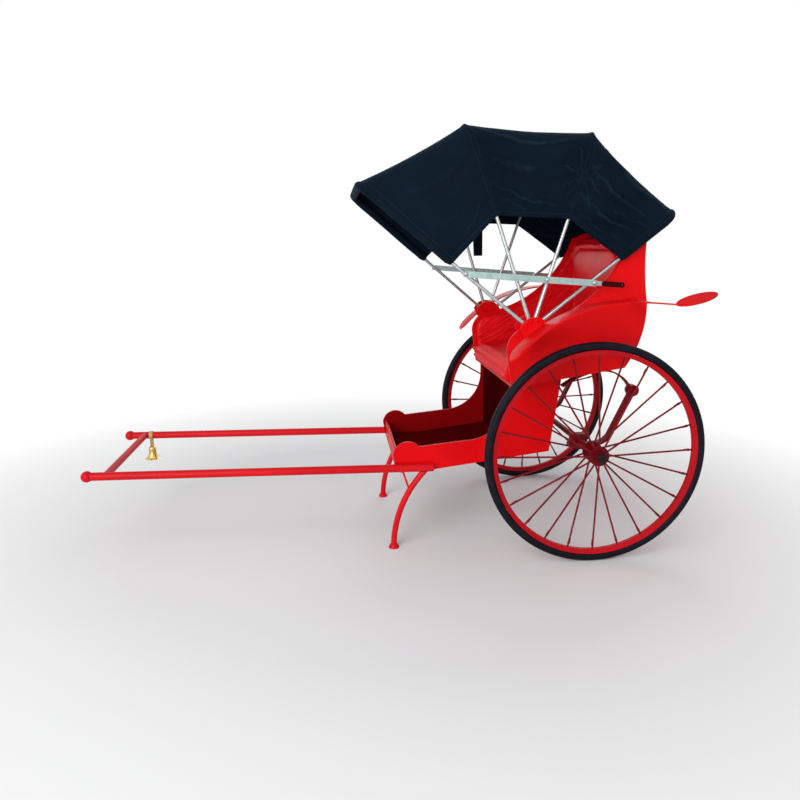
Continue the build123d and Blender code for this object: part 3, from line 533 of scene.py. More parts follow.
def build_panel(name, first, second, sag, gather, seed):
    """One cloth panel between two bows, as a grid with a UV map in metres."""
    near, across = bow_line(BOWS[first], cloth_stand, ACROSS)
    far, _ = bow_line(BOWS[second], cloth_stand, ACROSS)
    near = np.array([p[:] for p in near])
    far = np.array([p[:] for p in far])
    length = float(np.linalg.norm(far - near, axis=1).mean())
    shares = np.linspace(0, 1, ROWS)
    grid = near[None] * (1 - shares)[:, None, None] + far[None] * shares[:, None, None]
    normal = np.cross(np.gradient(grid, axis=1), np.gradient(grid, axis=0))
    normal /= np.linalg.norm(normal, axis=2, keepdims=True)
    outward = grid - np.array([pivot.x, 0, pivot.z])
    if (normal * outward).sum(axis=2).mean() < 0:
        normal = -normal
    spots = np.linspace(0, across, ACROSS)
    from_edge = np.minimum(spots, across - spots)
    side = np.clip((side_start - from_edge / across * side_fall) * side_sharpness, 0, 1)
    span = 4 * shares * (1 - shares)
    small = np.array([[small_folds(u, j / (ACROSS - 1), seed) for j in range(ACROSS)] for u in shares])
    folds = gather * (crown_gather + side) * small * np.minimum(1, span * gather_ramp)[:, None]
    place = np.meshgrid(shares, spots, indexing="ij")
    folds += drawn_folds(place[0], place[1], length, FOLDS[name])
    folds += drawn_folds(place[0], (across - place[1]) * far_side_stretch, length, FOLDS[name])
    lift = folds - sag * np.outer(span, 1 - side_sag_loss * side)
    in_hem = from_edge < hem_band
    lift += in_hem * hem_rise * np.sin(np.pi * (hem_start + (1 - hem_start) * from_edge / hem_band))
    lift -= (~in_hem & (from_edge < hem_band * groove_end)) * hem_groove
    moved = grid + normal * lift[..., None]
    mesh = bpy.data.meshes.new(name)
    mesh.from_pydata(moved.reshape(-1, 3).tolist(), [], grid_faces(ROWS, ACROSS))
    mesh.update()
    # The fold height drives the cloth's painted highlight on ridges and painted shade in troughs.
    fold_tone_layer = mesh.attributes.new("fold_height", "FLOAT", "POINT")
    fold_tone_layer.data.foreach_set("value", np.clip(folds / full_fold, -1, 1).ravel())
    layer = mesh.uv_layers.new(name="cut_cloth")
    for loop in mesh.loops:
        i, j = divmod(loop.vertex_index, ACROSS)
        layer.data[loop.index].uv = (spots[j], shares[i] * length)
    if (np.array(mesh.polygons[0].normal) * outward[0, 0]).sum() < 0:
        mesh.flip_normals()
    mesh.polygons.foreach_set("use_smooth", [True] * len(mesh.polygons))
    mesh.materials.append(hood_cloth)
    area = sum(p.area for p in mesh.polygons)
    return dict(piece=placed(name, mesh), across=across, length=length, area=area, points=moved,
                normal=normal)


def blend_between(piece):
    """Bake a piece's placement into its mesh."""
    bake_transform(piece)


panels = {}
for name, first, second, node, sag, gather, seed in PANELS:
    panel = build_panel(name, first, second, sag, gather, seed)
    thick = panel["piece"].modifiers.new("cloth_thickness", "SOLIDIFY")
    thick.thickness = cloth_thickness
    thick.offset = -1
    blend_between(panel["piece"])
    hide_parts(node)
    panels[name] = panel
    print(name, "cut", round(panel["across"], 3), "by", round(panel["length"], 3))

# %% [markdown]
# The cloth is turned round the first and the last bow and sewn into a fat roll, and a welt covers the
# seam over each middle bow. A roll is a tube along the bow's line whose thickness wanders a little, as
# stuffed cloth does; its ends are gathered closed round the bow's leg.


# %% Rolled hems and welts
gathered_end = 0.62
gather_step = 0.19


def tube_along(name, points, radius, sides, wander, seed, material):
    """A closed tube of slightly uneven thickness along a line of points, gathered at its ends."""
    points = [Vector(p) for p in points]
    mesh = bmesh.new()
    uv = mesh.loops.layers.uv.new("cut_cloth")
    rings = []
    run = 0.0
    for k, point in enumerate(points):
        ahead = points[min(k + 1, len(points) - 1)]
        behind = points[max(k - 1, 0)]
        way = (ahead - behind).normalized()
        sideways = way.orthogonal() if k == 0 else (last - way * last.dot(way))
        last = sideways.normalized()
        upward = way.cross(last)
        run += (point - behind).length if k else 0.0
        from_end = min(k, len(points) - 1 - k)
        close = min(1.0, gathered_end + gather_step * from_end)
        ring = []
        for s in range(sides):
            angle = 2 * math.pi * s / sides
            puff = 1 + wander * noise.noise(Vector((run * 22, angle * 0.8, seed)))
            spoke = (last * math.cos(angle) + upward * math.sin(angle)) * radius * puff * close
            ring.append(mesh.verts.new(point + spoke))
        rings.append((ring, run))
    for (ring, run), (following, after) in zip(rings, rings[1:]):
        for s in range(sides):
            t = (s + 1) % sides
            face = mesh.faces.new((ring[s], ring[t], following[t], following[s]))
            face.smooth = True
            round_by = 2 * math.pi * radius / sides
            for loop, spot in zip(face.loops, ((s, run), (s + 1, run), (s + 1, after), (s, after))):
                loop[uv].uv = (spot[0] * round_by, spot[1])
    mesh.faces.new(list(reversed(rings[0][0])))
    mesh.faces.new(rings[-1][0])
    bmesh.ops.recalc_face_normals(mesh, faces=mesh.faces)
    data = bpy.data.meshes.new(name)
    mesh.to_mesh(data)
    mesh.free()
    data.materials.append(material)
    return placed(name, data)


HEM_POINTS = 150
HEM_SIDES = 14
hem_radius = 0.0165
welt_radius = 0.0030
for bow_name, stand, radius, wander in (
    ("rear", 0.0, hem_radius, 0.10), ("third", cloth_stand, welt_radius, 0.15),
    ("second", cloth_stand, welt_radius, 0.15), ("front", 0.0, hem_radius, 0.10),
):
    bow = BOWS[bow_name]
    line, _ = bow_line(bow, stand, HEM_POINTS)
    hem = tube_along(f"hood_hem_{bow_name}", line, radius, HEM_SIDES, wander, bow["angle"], hem_cloth)
    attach(hem, bow["body"])

for name, first, second, *_ in PANELS:
    panel = panels[name]

# %% [markdown]
# A short tie strap of the same cloth hangs inside the hood, from the right lower edge near the second
# bow. It is a narrow strip that hangs straight down with a slight twist, so a small grid is enough.

# %% Tie strap
strap_wide = 0.048
strap_long = 0.175
strap_share = 0.70
strap_tuck = 0.022
strap_inset = 0.006
strap_twist = math.radians(24)
strap_swing = 0.014
strap_curl = 0.002
strap_thickness = 0.0022
STRAP_COLUMNS = 7
STRAP_ROWS = 24
edge_row = int(round(strap_share * (ROWS - 1)))
strap_edge = Vector(panels["hood_panel_top"]["points"][edge_row, -1])
strap_top = strap_edge + Vector((0, -strap_inset, strap_tuck))
strap_points = []
for row in range(STRAP_ROWS):
    down = row / (STRAP_ROWS - 1)
    twist = strap_twist * down
    for column in range(STRAP_COLUMNS):
        out = (column / (STRAP_COLUMNS - 1) - 0.5) * strap_wide
        curl = strap_curl * math.cos(math.pi * column / (STRAP_COLUMNS - 1)) * down
        inward = out * math.sin(twist) - strap_swing * down ** 2 + curl
        strap_points.append(strap_top + Vector((out * math.cos(twist), inward, -strap_long * down)))
strap_mesh = bpy.data.meshes.new("hood_tie_strap")
strap_mesh.from_pydata([p[:] for p in strap_points], [], grid_faces(STRAP_ROWS, STRAP_COLUMNS))
strap_mesh.polygons.foreach_set("use_smooth", [True] * len(strap_mesh.polygons))
strap_uv = strap_mesh.uv_layers.new(name="cut_cloth")
for loop in strap_mesh.loops:
    row, column = divmod(loop.vertex_index, STRAP_COLUMNS)
    strap_uv.data[loop.index].uv = (column / (STRAP_COLUMNS - 1) * strap_wide,
                                    row / (STRAP_ROWS - 1) * strap_long)
strap_mesh.materials.append(hem_cloth)
tie_strap = placed("hood_tie_strap", strap_mesh)
thick = tie_strap.modifiers.new("cloth_thickness", "SOLIDIFY")
thick.thickness = strap_thickness
thick.offset = 0
blend_between(tie_strap)
print("tie strap hangs from", [round(c, 3) for c in strap_top])

# %% [markdown]
# The seat pads are foam under vinyl. Each starts as its CAD solid, is remeshed to an even skin, pulled
# in, and blown up by a cloth simulation with pressure, so its faces crown and its edges tighten. Points
# may move only so far, past the solid's box only by a small room, and not at all where the pad lies on
# wood or steel. Sewn grooves and creases are pressed in afterwards, because the remesh would wipe them
# out.


# %% Helpers for stuffed pads
SKIN_EASE = 9
SWELL_FRAMES = 20
FOAM_COVER = dict(quality=5, mass=0.3, tension_stiffness=12, compression_stiffness=12,
                  bending_stiffness=0.6, use_pressure=True)
merge_gap = 0.00005


def plain_copy(node, name):
    """A merged copy of a CAD node's mesh as a new object."""
    mesh = frame["nodes"][node].data.copy()
    mesh.name = name
    shape = bmesh.new()
    shape.from_mesh(mesh)
    bmesh.ops.remove_doubles(shape, verts=shape.verts, dist=merge_gap)
    shape.to_mesh(mesh)
    shape.free()
    return placed(name, mesh)


def baked(piece):
    """Replace a piece's mesh by what its modifiers make of it, and drop them."""
    made = piece.evaluated_get(bpy.context.evaluated_depsgraph_get())
    ready = bpy.data.meshes.new_from_object(made)
    piece.modifiers.clear()
    piece.data = ready
    return piece


def stuffed(node, name, voxel, inset, cap, room, held, pressure=4.0):
    """A padded piece swollen from a CAD solid.

    room is how far it may pass the solid's box on each side, and held says which faces don't move."""
    piece = plain_copy(node, name)
    remesh = piece.modifiers.new("even_skin", "REMESH")
    remesh.mode = "VOXEL"
    remesh.voxel_size = voxel
    smooth = piece.modifiers.new("ease", "SMOOTH")
    smooth.iterations = SKIN_EASE
    baked(piece)
    mesh = piece.data
    start = np.array([v.co for v in mesh.vertices])
    normals = np.array([v.normal for v in mesh.vertices])
    fixed = held(normals)[:, None]
    mesh.vertices.foreach_set("co", (start - normals * inset).ravel())
    mesh.update()
    cloth = piece.modifiers.new("swell", "CLOTH")
    for label, value in FOAM_COVER.items():
        setattr(cloth.settings, label, value)
    cloth.settings.uniform_pressure_force = pressure
    cloth.settings.effector_weights.gravity = 0
    for step in range(1, SWELL_FRAMES + 1):
        scene.frame_set(step)
    baked(piece)
    scene.frame_set(1)
    mesh = piece.data
    move = np.array([v.co for v in mesh.vertices]) - start
    far = np.linalg.norm(move, axis=1, keepdims=True)
    swollen = start + np.where(fixed, 0, move * np.minimum(1, cap / np.maximum(far, 1e-9)))
    low, high = (np.array(corner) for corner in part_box(node))
    swollen = np.clip(swollen, low - np.array(room[0]), high + np.array(room[1]))
    mesh.vertices.foreach_set("co", swollen.ravel())
    mesh.update()
    return piece


def refined(piece, ease=0):
    """Divide a pad's skin once and keep the result, so that fine relief can be pressed into it.

    With ease, the swollen skin is evened out by that many rounds of smoothing first."""
    if ease:
        even = piece.modifiers.new("even_out", "SMOOTH")
        even.iterations = ease
    skin = piece.modifiers.new("finer_skin", "SUBSURF")
    skin.levels = 1
    skin.render_levels = 1
    return baked(piece)


def press(piece, depth_at):
    """Move a pad's points along their normals by what depth_at gives for a place and a normal."""
    mesh = piece.data
    moves = [v.normal * depth_at(v.co, v.normal) for v in mesh.vertices]
    for vertex, move in zip(mesh.vertices, moves):
        vertex.co += move
    mesh.update()


def finish_pad(piece, node, finish):
    """Material, smoothing and riding of a pad, with its CAD node hidden."""
    mesh = piece.data
    mesh.polygons.foreach_set("use_smooth", [True] * len(mesh.polygons))
    mesh.materials.clear()
    mesh.materials.append(finish)
    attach(piece, "chassis")
    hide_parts(node)
    print(piece.name, len(mesh.vertices), "points")


print("pads swell over", SWELL_FRAMES, "frames")

# %% [markdown]
# The cushion is a plain crowned pad with a full roll along its front, which stands a little over the
# edge of its board. A few shallow creases run across it where it is sat on.

# %% Seat cushion
roll_fill = 0.013
crease_deep = 0.0008
crease_half = 0.24
crease_facing = 0.75
cushion_ease = 12


def cushion_relief(spot, facing):
    """Relief of the cushion: the roll filled out along its front edge, and creases on its upper side."""
    shoulder = 2 * max(-facing.x, 0) * max(facing.z, 0)
    ridge = abs(noise.noise(Vector((spot.x * 14, spot.y * 9, spot.z * 6 + 3.0))))
    crease = crease_deep * (min(ridge, crease_half) / crease_half - 1)
    return roll_fill * shoulder + (crease if facing.z > crease_facing else 0)


cushion = stuffed("seat_cushion", "seat_cushion_stuffed", 0.007, 0.006, 0.016,
                  ((0.008, 0.0, 0.0), (0.004, 0.0, 0.012)),
                  lambda normals: (normals[:, 2] < -0.4) | (normals[:, 0] > 0.5))
press(refined(cushion, cushion_ease), cushion_relief)
finish_pad(cushion, "seat_cushion", cushion_vinyl)

# %% [markdown]
# The backrest has a puffed border round a smooth crowned middle. A seam runs between them, a hand's
# breadth in from the edge, and the vinyl puckers where it is gathered into that seam.

# %% Backrest
back_low, back_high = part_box("backrest_pad")
back_middle = (back_high[2] + back_low[2]) / 2
back_corner = 0.090
border_wide = 0.052
border_puff = 0.008
seam_corner = 0.095
seam_deep = 0.0040
seam_half = 0.009
middle_crown = 0.007
crown_run = 0.03
pucker_rise = 0.0048
pucker_reach = 0.020
pucker_spread = 100
pucker_ring = 0.27
ripple_rise = 0.0015
pad_facing = 0.35


def depth_inside(y, z, inset, corner):
    """How far a place on the backrest lies inside a round-cornered outline, inset from its edge."""
    over_y = abs(y) - ((back_high[1] - back_low[1]) / 2 - inset - corner)
    over_z = abs(z - back_middle) - ((back_high[2] - back_low[2]) / 2 - inset - corner)
    return corner - math.hypot(max(over_y, 0), max(over_z, 0)) - min(max(over_y, over_z), 0)


def back_relief(spot, facing):
    """Relief of the backrest's front: border, seam, puckers and middle."""
    if facing.x > -pad_facing:
        return 0.0
    inside = depth_inside(spot.y, spot.z, 0, back_corner)
    from_seam = depth_inside(spot.y, spot.z, border_wide, seam_corner)
    if from_seam < 0:
        rise = border_puff * math.sin(math.pi * max(inside, 0) / max(inside - from_seam, border_wide))
    else:
        rise = middle_crown * (1 - math.exp(-from_seam / crown_run))
    rise -= seam_deep * math.exp(-(from_seam / seam_half) ** 2)
    around = math.atan2(spot.z - back_middle, spot.y) * pucker_ring
    pucker = noise.noise(Vector((around * pucker_spread, from_seam * 14, 2.7)))
    slack = 0.5 + 0.5 * noise.noise(Vector((spot.y * 7, spot.z * 7, 5.5)))
    outside = from_seam + 0.4 * pucker_reach
    rise += pucker_rise * pucker * slack * math.exp(-(outside / pucker_reach) ** 2)
    ripple = noise.noise(Vector((spot.y * 11, spot.z * 9, 8.0)))
    return rise + ripple_rise * ripple


back_pad = stuffed("backrest_pad", "backrest_pad_stuffed", 0.006, 0.006, 0.016,
                   ((0.014, 0.0, 0.004), (0.0, 0.0, 0.004)), lambda normals: normals[:, 0] > 0.4)
press(refined(back_pad), back_relief)
finish_pad(back_pad, "backrest_pad", back_vinyl)

# %% [markdown]
# The arms are lined with a thin pad whose vinyl is slack. It wrinkles in fine lines that rise towards
# the back, crossed by a few broader ones.

# %% Arm linings
wrinkle_rise = math.radians(30)
wrinkle_bend = 0.012
fine_wrinkle = 0.0030
broad_wrinkle = 0.0034
no_room = ((0.0, 0.0, 0.0), (0.0, 0.0, 0.0))


def arm_wrinkles(spot, facing, sign):
    """Fine slanting wrinkles on the side of a lining that faces the seat."""
    if facing.y * sign > -pad_facing:
        return 0.0
    along = spot.x * math.cos(wrinkle_rise) + spot.z * math.sin(wrinkle_rise)
    across = spot.z * math.cos(wrinkle_rise) - spot.x * math.sin(wrinkle_rise)
    bent = across + wrinkle_bend * noise.noise(Vector((along * 9, across * 6, 1.3 + sign)))
    fine = noise.noise(Vector((along * 14, bent * 95, 5.0 + sign)))
    broad = noise.noise(Vector((along * 7, bent * 38, 9.0 + sign)))
    return fine_wrinkle * fine + broad_wrinkle * broad


for side, sign in (("left", -1), ("right", 1)):
    lining = stuffed(f"arm_lining_{side}", f"arm_lining_{side}_stuffed", 0.005, 0.002, 0.006, no_room,
                     lambda normals: normals[:, 1] * sign > 0.4, 2.0)
    press(refined(lining), lambda spot, facing: arm_wrinkles(spot, facing, sign))
    finish_pad(lining, f"arm_lining_{side}", lining_vinyl)

# %% [markdown]
# Spoke nipples sit where each spoke meets the rim, bolts hold the hood's brackets, rivets join its
# stays, and rows of stitches hold its hems. Each repeats a small shape, so a Geometry Nodes tree places
# it: on a ring, on points given one by one, or along a line. Every tree ends alike: its shape is put on
# the points, realized and given its finish, and the result is kept as a plain mesh, one for each body.


# %% Geometry Nodes helpers
SOCKET_KINDS = {int: "NodeSocketInt", float: "NodeSocketFloat", tuple: "NodeSocketVector"}


def new_tree(name, sizes):
    """A geometry tree with a mesh, named sizes and a finish as inputs: returns it and those inputs."""
    tree = bpy.data.node_groups.new(name, "GeometryNodeTree")
    tree.interface.new_socket("Geometry", in_out="OUTPUT", socket_type="NodeSocketGeometry")
    tree.interface.new_socket("Mesh", in_out="INPUT", socket_type="NodeSocketGeometry")
    for label, value in sizes.items():
        socket = tree.interface.new_socket(label, in_out="INPUT", socket_type=SOCKET_KINDS[type(value)])
        socket.default_value = value
    tree.interface.new_socket("Finish", in_out="INPUT", socket_type="NodeSocketMaterial")
    return tree, tree.nodes.new("NodeGroupInput").outputs


def cone(tree, sides, bottom, top, depth):
    """A cone or a cylinder that stands on its base."""
    return add_node(tree, "GeometryNodeMeshCone", {
        "Vertices": sides, "Radius Bottom": bottom, "Radius Top": top, "Depth": depth}).outputs["Mesh"]


def raised(tree, shape, lift):
    """A shape moved up by a height."""
    rise = add_node(tree, "ShaderNodeCombineXYZ", {"Z": lift}).outputs["Vector"]
    return add_node(tree, "GeometryNodeTransform",
                    {"Geometry": shape, "Translation": rise}).outputs["Geometry"]


def pointing(tree, way):
    """The rotation that turns a shape's upright axis to a direction."""
    aim = add_node(tree, "FunctionNodeAlignRotationToVector", {"Vector": way}, axis="Z")
    return aim.outputs["Rotation"]


def repeat_on(tree, given, points, shape, rotation, place=None):
    """End a tree: the shape on every point, realized, put in its place if one is given, and painted."""
    spread = add_node(tree, "GeometryNodeInstanceOnPoints",
                      {"Points": points, "Instance": shape, "Rotation": rotation})
    real = add_node(tree, "GeometryNodeRealizeInstances", {"Geometry": spread.outputs["Instances"]})
    result = real.outputs["Geometry"]
    if place:
        result = add_node(tree, "GeometryNodeTransform", {"Geometry": result, **place}).outputs["Geometry"]
    paint = add_node(tree, "GeometryNodeSetMaterial", {"Geometry": result, "Material": given["Finish"]})
    add_node(tree, "NodeGroupOutput", {"Geometry": paint.outputs["Geometry"]})


def run_tree(name, tree, sizes, finish, points=(), edges=()):
    """Evaluate a tree on a mesh of points and edges, and keep the result as a plain mesh object."""
    mesh = bpy.data.meshes.new(name)
    mesh.from_pydata([tuple(p) for p in points], list(edges), [])
    piece = placed(name, mesh)
    modifier = piece.modifiers.new("repeat", "NODES")
    modifier.node_group = tree
    values = {**sizes, "Finish": finish}
    for item in tree.interface.items_tree:
        if item.item_type == "SOCKET" and item.in_out == "INPUT" and item.name in values:
            modifier[item.identifier] = values[item.name]
    baked(piece)
    piece.data.name = name
    if not piece.data.materials:
        piece.data.materials.append(finish)
    return piece


print("tree inputs can be", sorted(SOCKET_KINDS.values()))

# %% [markdown]
# A nipple is the small threaded sleeve that tightens a spoke at the rim. It is a short tapered cylinder
# that points to the hub, so one ring of points with a rotation towards its middle places them all.

# %% Spoke nipples
nipple_sides = 10
nipple_taper = 0.7


def nipple_tree():
    """Nipples on a ring about the Y axis, each pointing to the ring's middle."""
    tree, given = new_tree("spoke_nipples", {
        "Count": 24, "Ring Radius": 0.37, "Nipple Radius": 0.004, "Nipple Length": 0.02,
        "Middle": (0.0, 0.0, 0.0)})
    ring = add_node(tree, "GeometryNodeMeshCircle",
                    {"Vertices": given["Count"], "Radius": given["Ring Radius"]})
    tip = computed(tree, "MULTIPLY", given["Nipple Radius"], nipple_taper)
    body = cone(tree, nipple_sides, given["Nipple Radius"], tip, given["Nipple Length"])
    place = add_node(tree, "GeometryNodeInputPosition").outputs["Position"]
    inward = add_node(tree, "ShaderNodeVectorMath", {0: place, "Scale": -1}, operation="SCALE")
    repeat_on(tree, given, ring.outputs["Mesh"], body, pointing(tree, inward.outputs["Vector"]),
              {"Rotation": (math.pi / 2, 0, 0), "Translation": given["Middle"]})
    return tree


rim_low, rim_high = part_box("rim_left")
rim_depth = 0.018
rim_inside = (rim_high[0] - rim_low[0]) / 2 - rim_depth
nipple_length = 0.022
nipple_gap = 0.0004
nipple_sizes = {"Count": 24, "Ring Radius": rim_inside - nipple_length / 2 - nipple_gap,
                "Nipple Radius": 0.0052, "Nipple Length": nipple_length}
nipples = nipple_tree()
for side in ("left", "right"):
    middle = tuple(joint_at[f"wheel_{side}_spin"])
    piece = run_tree(f"spoke_nipples_{side}", nipples, {**nipple_sizes, "Middle": middle}, spoke_red)
    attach(piece, f"wheel_{side}")
    print(piece.name, len(piece.data.polygons), "faces")

# %% [markdown]
# A fastener's head stands on a flat washer. A hexagon makes a bolt and a many-sided head a rivet, so one
# tree serves for both. All of them point away from the vehicle's middle, to the side that they are on.


# %% Bolt and rivet heads
WASHER_SIDES = 20
washer_taper = 0.93
head_taper = 0.92
crown_taper = 0.55


def head_tree():
    """Heads on washers at the given points, facing away from the plane Y = 0, or to it at Outward -1."""
    tree, given = new_tree("fastener_heads", {
        "Sides": 6, "Head Radius": 0.006, "Head Height": 0.005, "Washer Radius": 0.009,
        "Washer Height": 0.0015, "Outward": 1.0})
    rim = computed(tree, "MULTIPLY", given["Washer Radius"], washer_taper)
    shoulder = computed(tree, "MULTIPLY", given["Head Radius"], head_taper)
    tip = computed(tree, "MULTIPLY", given["Head Radius"], crown_taper)
    crown_start = computed(tree, "MULTIPLY", given["Head Height"], 2.0)
    washer = cone(tree, WASHER_SIDES, given["Washer Radius"], rim, given["Washer Height"])
    head = cone(tree, given["Sides"], given["Head Radius"], shoulder, given["Head Height"])
    crown = cone(tree, given["Sides"], shoulder, tip, given["Head Height"])
    stacked = add_node(tree, "GeometryNodeJoinGeometry", {"Geometry": washer})
    for shape, lift in ((head, given["Washer Height"]), (crown, crown_start)):
        tree.links.new(raised(tree, shape, lift), stacked.inputs["Geometry"])
    place = add_node(tree, "GeometryNodeInputPosition").outputs["Position"]
    sideways = add_node(tree, "ShaderNodeVectorMath", {0: place, 1: (0, 1, 0)}, operation="MULTIPLY")
    facing = add_node(tree, "ShaderNodeVectorMath",
                      {0: sideways.outputs["Vector"], "Scale": given["Outward"]}, operation="SCALE")
    repeat_on(tree, given, given["Mesh"], stacked.outputs["Geometry"],
              pointing(tree, facing.outputs["Vector"]))
    return tree


heads = head_tree()
bracket_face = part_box("hood_bracket_right")[1][1]
BOLT_ANGLES = (82, 113, 144)
bolt_ring = 0.046
bolt_sizes = {"Sides": 6, "Head Radius": 0.0060, "Head Height": 0.0030, "Washer Radius": 0.0085,
              "Washer Height": 0.0014}
bolts = []
for sign in (-1, 1):
    for angle in BOLT_ANGLES:
        out = math.radians(angle)
        bolts.append((pivot.x + bolt_ring * math.cos(out), sign * bracket_face,
                      pivot.z + bolt_ring * math.sin(out)))
piece = run_tree("hood_bracket_bolts", heads, bolt_sizes, body_red, bolts)
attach(piece, "chassis")
print(piece.name, len(bolts), "bolts")

# %% [markdown]
# A bolt goes through the rolled eye of each spring: its head is on the outside and its nut on the
# inside, each on a broad washer that covers the eye.

# %% Bolts through the spring eyes
spring_eye = (0.2185, 0.1966)
eye_bolt_sizes = {"Sides": 6, "Head Radius": 0.0105, "Head Height": 0.0045, "Washer Radius": 0.0155,
                  "Washer Height": 0.0020}
for label, corner, outward in (("heads", 1, 1.0), ("nuts", 0, -1.0)):
    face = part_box("spring_right")[corner][1]
    spots = [(axle.x + spring_eye[0], sign * face, axle.z + spring_eye[1]) for sign in (-1, 1)]
    piece = run_tree(f"spring_eye_{label}", heads, {**eye_bolt_sizes, "Outward": outward}, iron_red, spots)
    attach(piece, "chassis")
print("spring eye bolts at", spring_eye)

# %% [markdown]
# The stays turn on three rivets a side: one on the rear bow, one where the two links meet, and one on
# the front bow. The heads sit on the outer face of the piece that carries them.

# %% Rivet heads of the stays
stay_front_reach = 0.337
rivet_sizes = {"Sides": 16, "Head Radius": 0.0070, "Head Height": 0.0018, "Washer Radius": 0.0095,
               "Washer Height": 0.0012}


def outer_face(node):
    """How far a piece reaches out to the side."""
    return max(abs(corner[1]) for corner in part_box(node))


front_spot = on_bow(BOWS["front"], 0, stay_front_reach)
for side, sign in (("left", -1), ("right", 1)):
    stud = joint_at[f"stay_rear_{side}_swing"]
    mid = joint_at[f"stay_front_{side}_swing"]
    for label, body, carrier, spot in (
        ("rear", "chassis", "hood_bow_rear", stud),
        ("middle", f"stay_rear_{side}", f"stay_rear_link_{side}", mid),
        ("front", f"stay_front_{side}", f"stay_front_link_{side}", front_spot),
    ):
        spots = [(spot.x, sign * outer_face(carrier), spot.z)]
        piece = run_tree(f"stay_rivet_{label}_{side}", heads, rivet_sizes, galvanised, spots)
        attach(piece, body)
print("stay rivets made")

# %% [markdown]
# The hood is sewn with a thread a little lighter than its cloth: along the lower hems, on both sides of
# the welts, and beside the two rolls. A line is taken from each panel's own grid, points are spaced
# along it, and each carries one short stitch.


# %% Stitches
thread_sides = 6


def stitch_tree():
    """Short stitches spaced along the edges of the given mesh."""
    tree, given = new_tree("hood_stitches", {
        "Spacing": 0.008, "Stitch Length": 0.005, "Thread Radius": 0.0008})
    line = add_node(tree, "GeometryNodeMeshToCurve", {"Mesh": given["Mesh"]})
    spaced = add_node(tree, "GeometryNodeCurveToPoints",
                      {"Curve": line.outputs["Curve"], "Length": given["Spacing"]}, mode="LENGTH")
    radius = given["Thread Radius"]
    thread = cone(tree, thread_sides, radius, radius, given["Stitch Length"])
    centred = raised(tree, thread, computed(tree, "MULTIPLY", given["Stitch Length"], -0.5))
    repeat_on(tree, given, spaced.outputs["Points"], centred, spaced.outputs["Rotation"])
    return tree


thread_lift = 0.0003
seam_inset = 0.003
welt_margin = 0.008
roll_margin = 0.021


def between(grid, place, axis):
    """A line of a panel's grid at a fractional row or column."""
    first = int(math.floor(place))
    share = place - first
    return np.take(grid, first, axis) * (1 - share) + np.take(grid, first + 1, axis) * share


def sewn_lines(panel, first, second):
    """Lines to be stitched on a panel: its two lower hems and beside its two bows."""
    raised = panel["points"] + panel["normal"] * thread_lift
    column = (hem_band - seam_inset) / panel["across"] * (ACROSS - 1)
    lines = [between(raised, column, 1), between(raised, ACROSS - 1 - column, 1)]
    for bow_name, at_end in ((first, False), (second, True)):
        margin = welt_margin if bow_name in ("third", "second") else roll_margin
        row = margin / panel["length"] * (ROWS - 1)
        lines.append(between(raised, ROWS - 1 - row if at_end else row, 0))
    return lines


stitch_sizes = {"Spacing": 0.008, "Stitch Length": 0.0052, "Thread Radius": 0.0008}
stitches = stitch_tree()
for name, first, second, *_ in PANELS:
    points = []
    edges = []
    for line in sewn_lines(panels[name], first, second):
        start = len(points)
        points += line.tolist()
        edges += [(start + k, start + k + 1) for k in range(len(line) - 1)]
    piece = run_tree(f"{name}_stitches", stitches, stitch_sizes, thread_blue, points, edges)
    blend_between(piece)
    print(piece.name, len(piece.data.polygons), "faces")

# %% [markdown]
# The studio is plain: a pale floor and a pale backdrop. The backdrop is white to the camera and in
# reflections only, and the floor fades into it away from the rickshaw, so that neither throws more light
# on it.

# %% Floor and backdrop
floor_reach = 14.0
fade_start = 1.1
fade_end = 2.6
white = (1, 1, 1, 1)
floor_mesh = bpy.data.meshes.new("floor")
corners = [(-floor_reach, -floor_reach, 0), (floor_reach, -floor_reach, 0),
           (floor_reach, floor_reach, 0), (-floor_reach, floor_reach, 0)]
floor_mesh.from_pydata(corners, [], [(0, 1, 2, 3)])
floor = placed("floor", floor_mesh)
floor_paint, tree, shader = start_material("pale_floor", (0.88, 0.88, 0.88), 0.85)
floor_mesh.materials.append(floor_paint)
place = add_node(tree, "ShaderNodeTexCoord").outputs["Object"]
distance = add_node(tree, "ShaderNodeVectorMath", {0: place}, operation="LENGTH").outputs["Value"]
fade = add_node(tree, "ShaderNodeMapRange",
                {"Value": distance, "From Min": fade_start, "From Max": fade_end})
ray = add_node(tree, "ShaderNodeLightPath")
shown = computed(tree, "MULTIPLY", fade.outputs["Result"], ray.outputs["Is Camera Ray"])
glow = add_node(tree, "ShaderNodeEmission", {"Color": white})
faded = add_node(tree, "ShaderNodeMixShader",
                 {"Fac": shown, 1: shader.outputs["BSDF"], 2: glow.outputs["Emission"]})
tree.links.new(faded.outputs["Shader"], tree.nodes["Material Output"].inputs["Surface"])

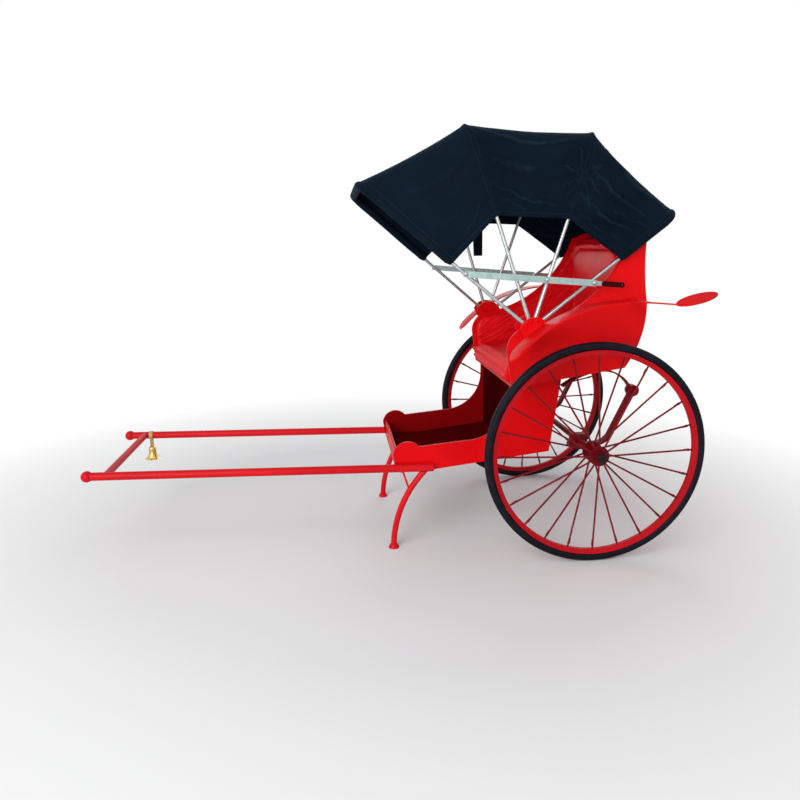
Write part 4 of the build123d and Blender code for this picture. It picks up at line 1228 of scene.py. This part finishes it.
world = bpy.data.worlds.new("studio")
scene.world = world
world.use_nodes = True
tree = world.node_tree
tree.nodes.clear()
ray = add_node(tree, "ShaderNodeLightPath")
backdrop = add_node(tree, "ShaderNodeBackground", {"Color": white, "Strength": 1.0})
ambient = add_node(tree, "ShaderNodeBackground", {"Color": (0.95, 0.97, 1.0, 1), "Strength": 0.45})
shown = computed(tree, "MAXIMUM", ray.outputs["Is Camera Ray"], ray.outputs["Is Glossy Ray"])
chosen = add_node(tree, "ShaderNodeMixShader",
                  {"Fac": shown, 1: ambient.outputs["Background"], 2: backdrop.outputs["Background"]})
add_node(tree, "ShaderNodeOutputWorld", {"Surface": chosen.outputs["Shader"]})
print("floor fades out from", fade_start, "to", fade_end)

# %% [markdown]
# Three soft lights are enough: a large key light high on the left, a low one that reaches the seat under
# the hood, and a weak one from behind. The camera stands where the photograph was taken from, with the
# lens shifted as its picture was cropped.


# %% Lights and camera
def soft_light(name, place, target, size, watts):
    """A square area light aimed at a point."""
    data = bpy.data.lights.new(name, "AREA")
    data.shape = "SQUARE"
    data.size = size
    data.energy = watts
    way = Vector(target) - Vector(place)
    turn = way.to_track_quat("-Z", "Y").to_matrix().to_4x4()
    placed(name, data).matrix_world = Matrix.Translation(place) @ turn


light_target = (0.5, 0.0, 0.9)
soft_light("key_light", (-2.8, -4.4, 4.2), light_target, 4.0, 155)
soft_light("low_light", (-2.4, -4.8, 1.6), light_target, 2.5, 102)
soft_light("back_light", (1.6, 4.4, 3.4), light_target, 3.0, 45)

focal_px = 679.9
image_px = 800
camera_data = bpy.data.cameras.new("camera")
camera_data.sensor_width = 36.0
camera_data.lens = focal_px / image_px * camera_data.sensor_width
camera_data.shift_x = 0.0085
camera_data.shift_y = -0.0499
camera = placed("camera", camera_data)
scene.camera = camera
camera_place = Vector((axle.x - 0.972, -2.877, 1.208))
yaw, pitch, roll = (math.radians(a) for a in (-5.07, -9.57, 0.80))
aim = (Matrix.Rotation(yaw, 3, "Z") @ Matrix.Rotation(pitch, 3, "X") @ Matrix.Rotation(roll, 3, "Y"))
turn = Matrix((aim.col[0], aim.col[2], -aim.col[1])).transposed()
camera.matrix_world = Matrix.Translation(camera_place) @ turn.to_4x4()
scene.view_settings.view_transform = "Standard"
print("camera", camera_place[:])
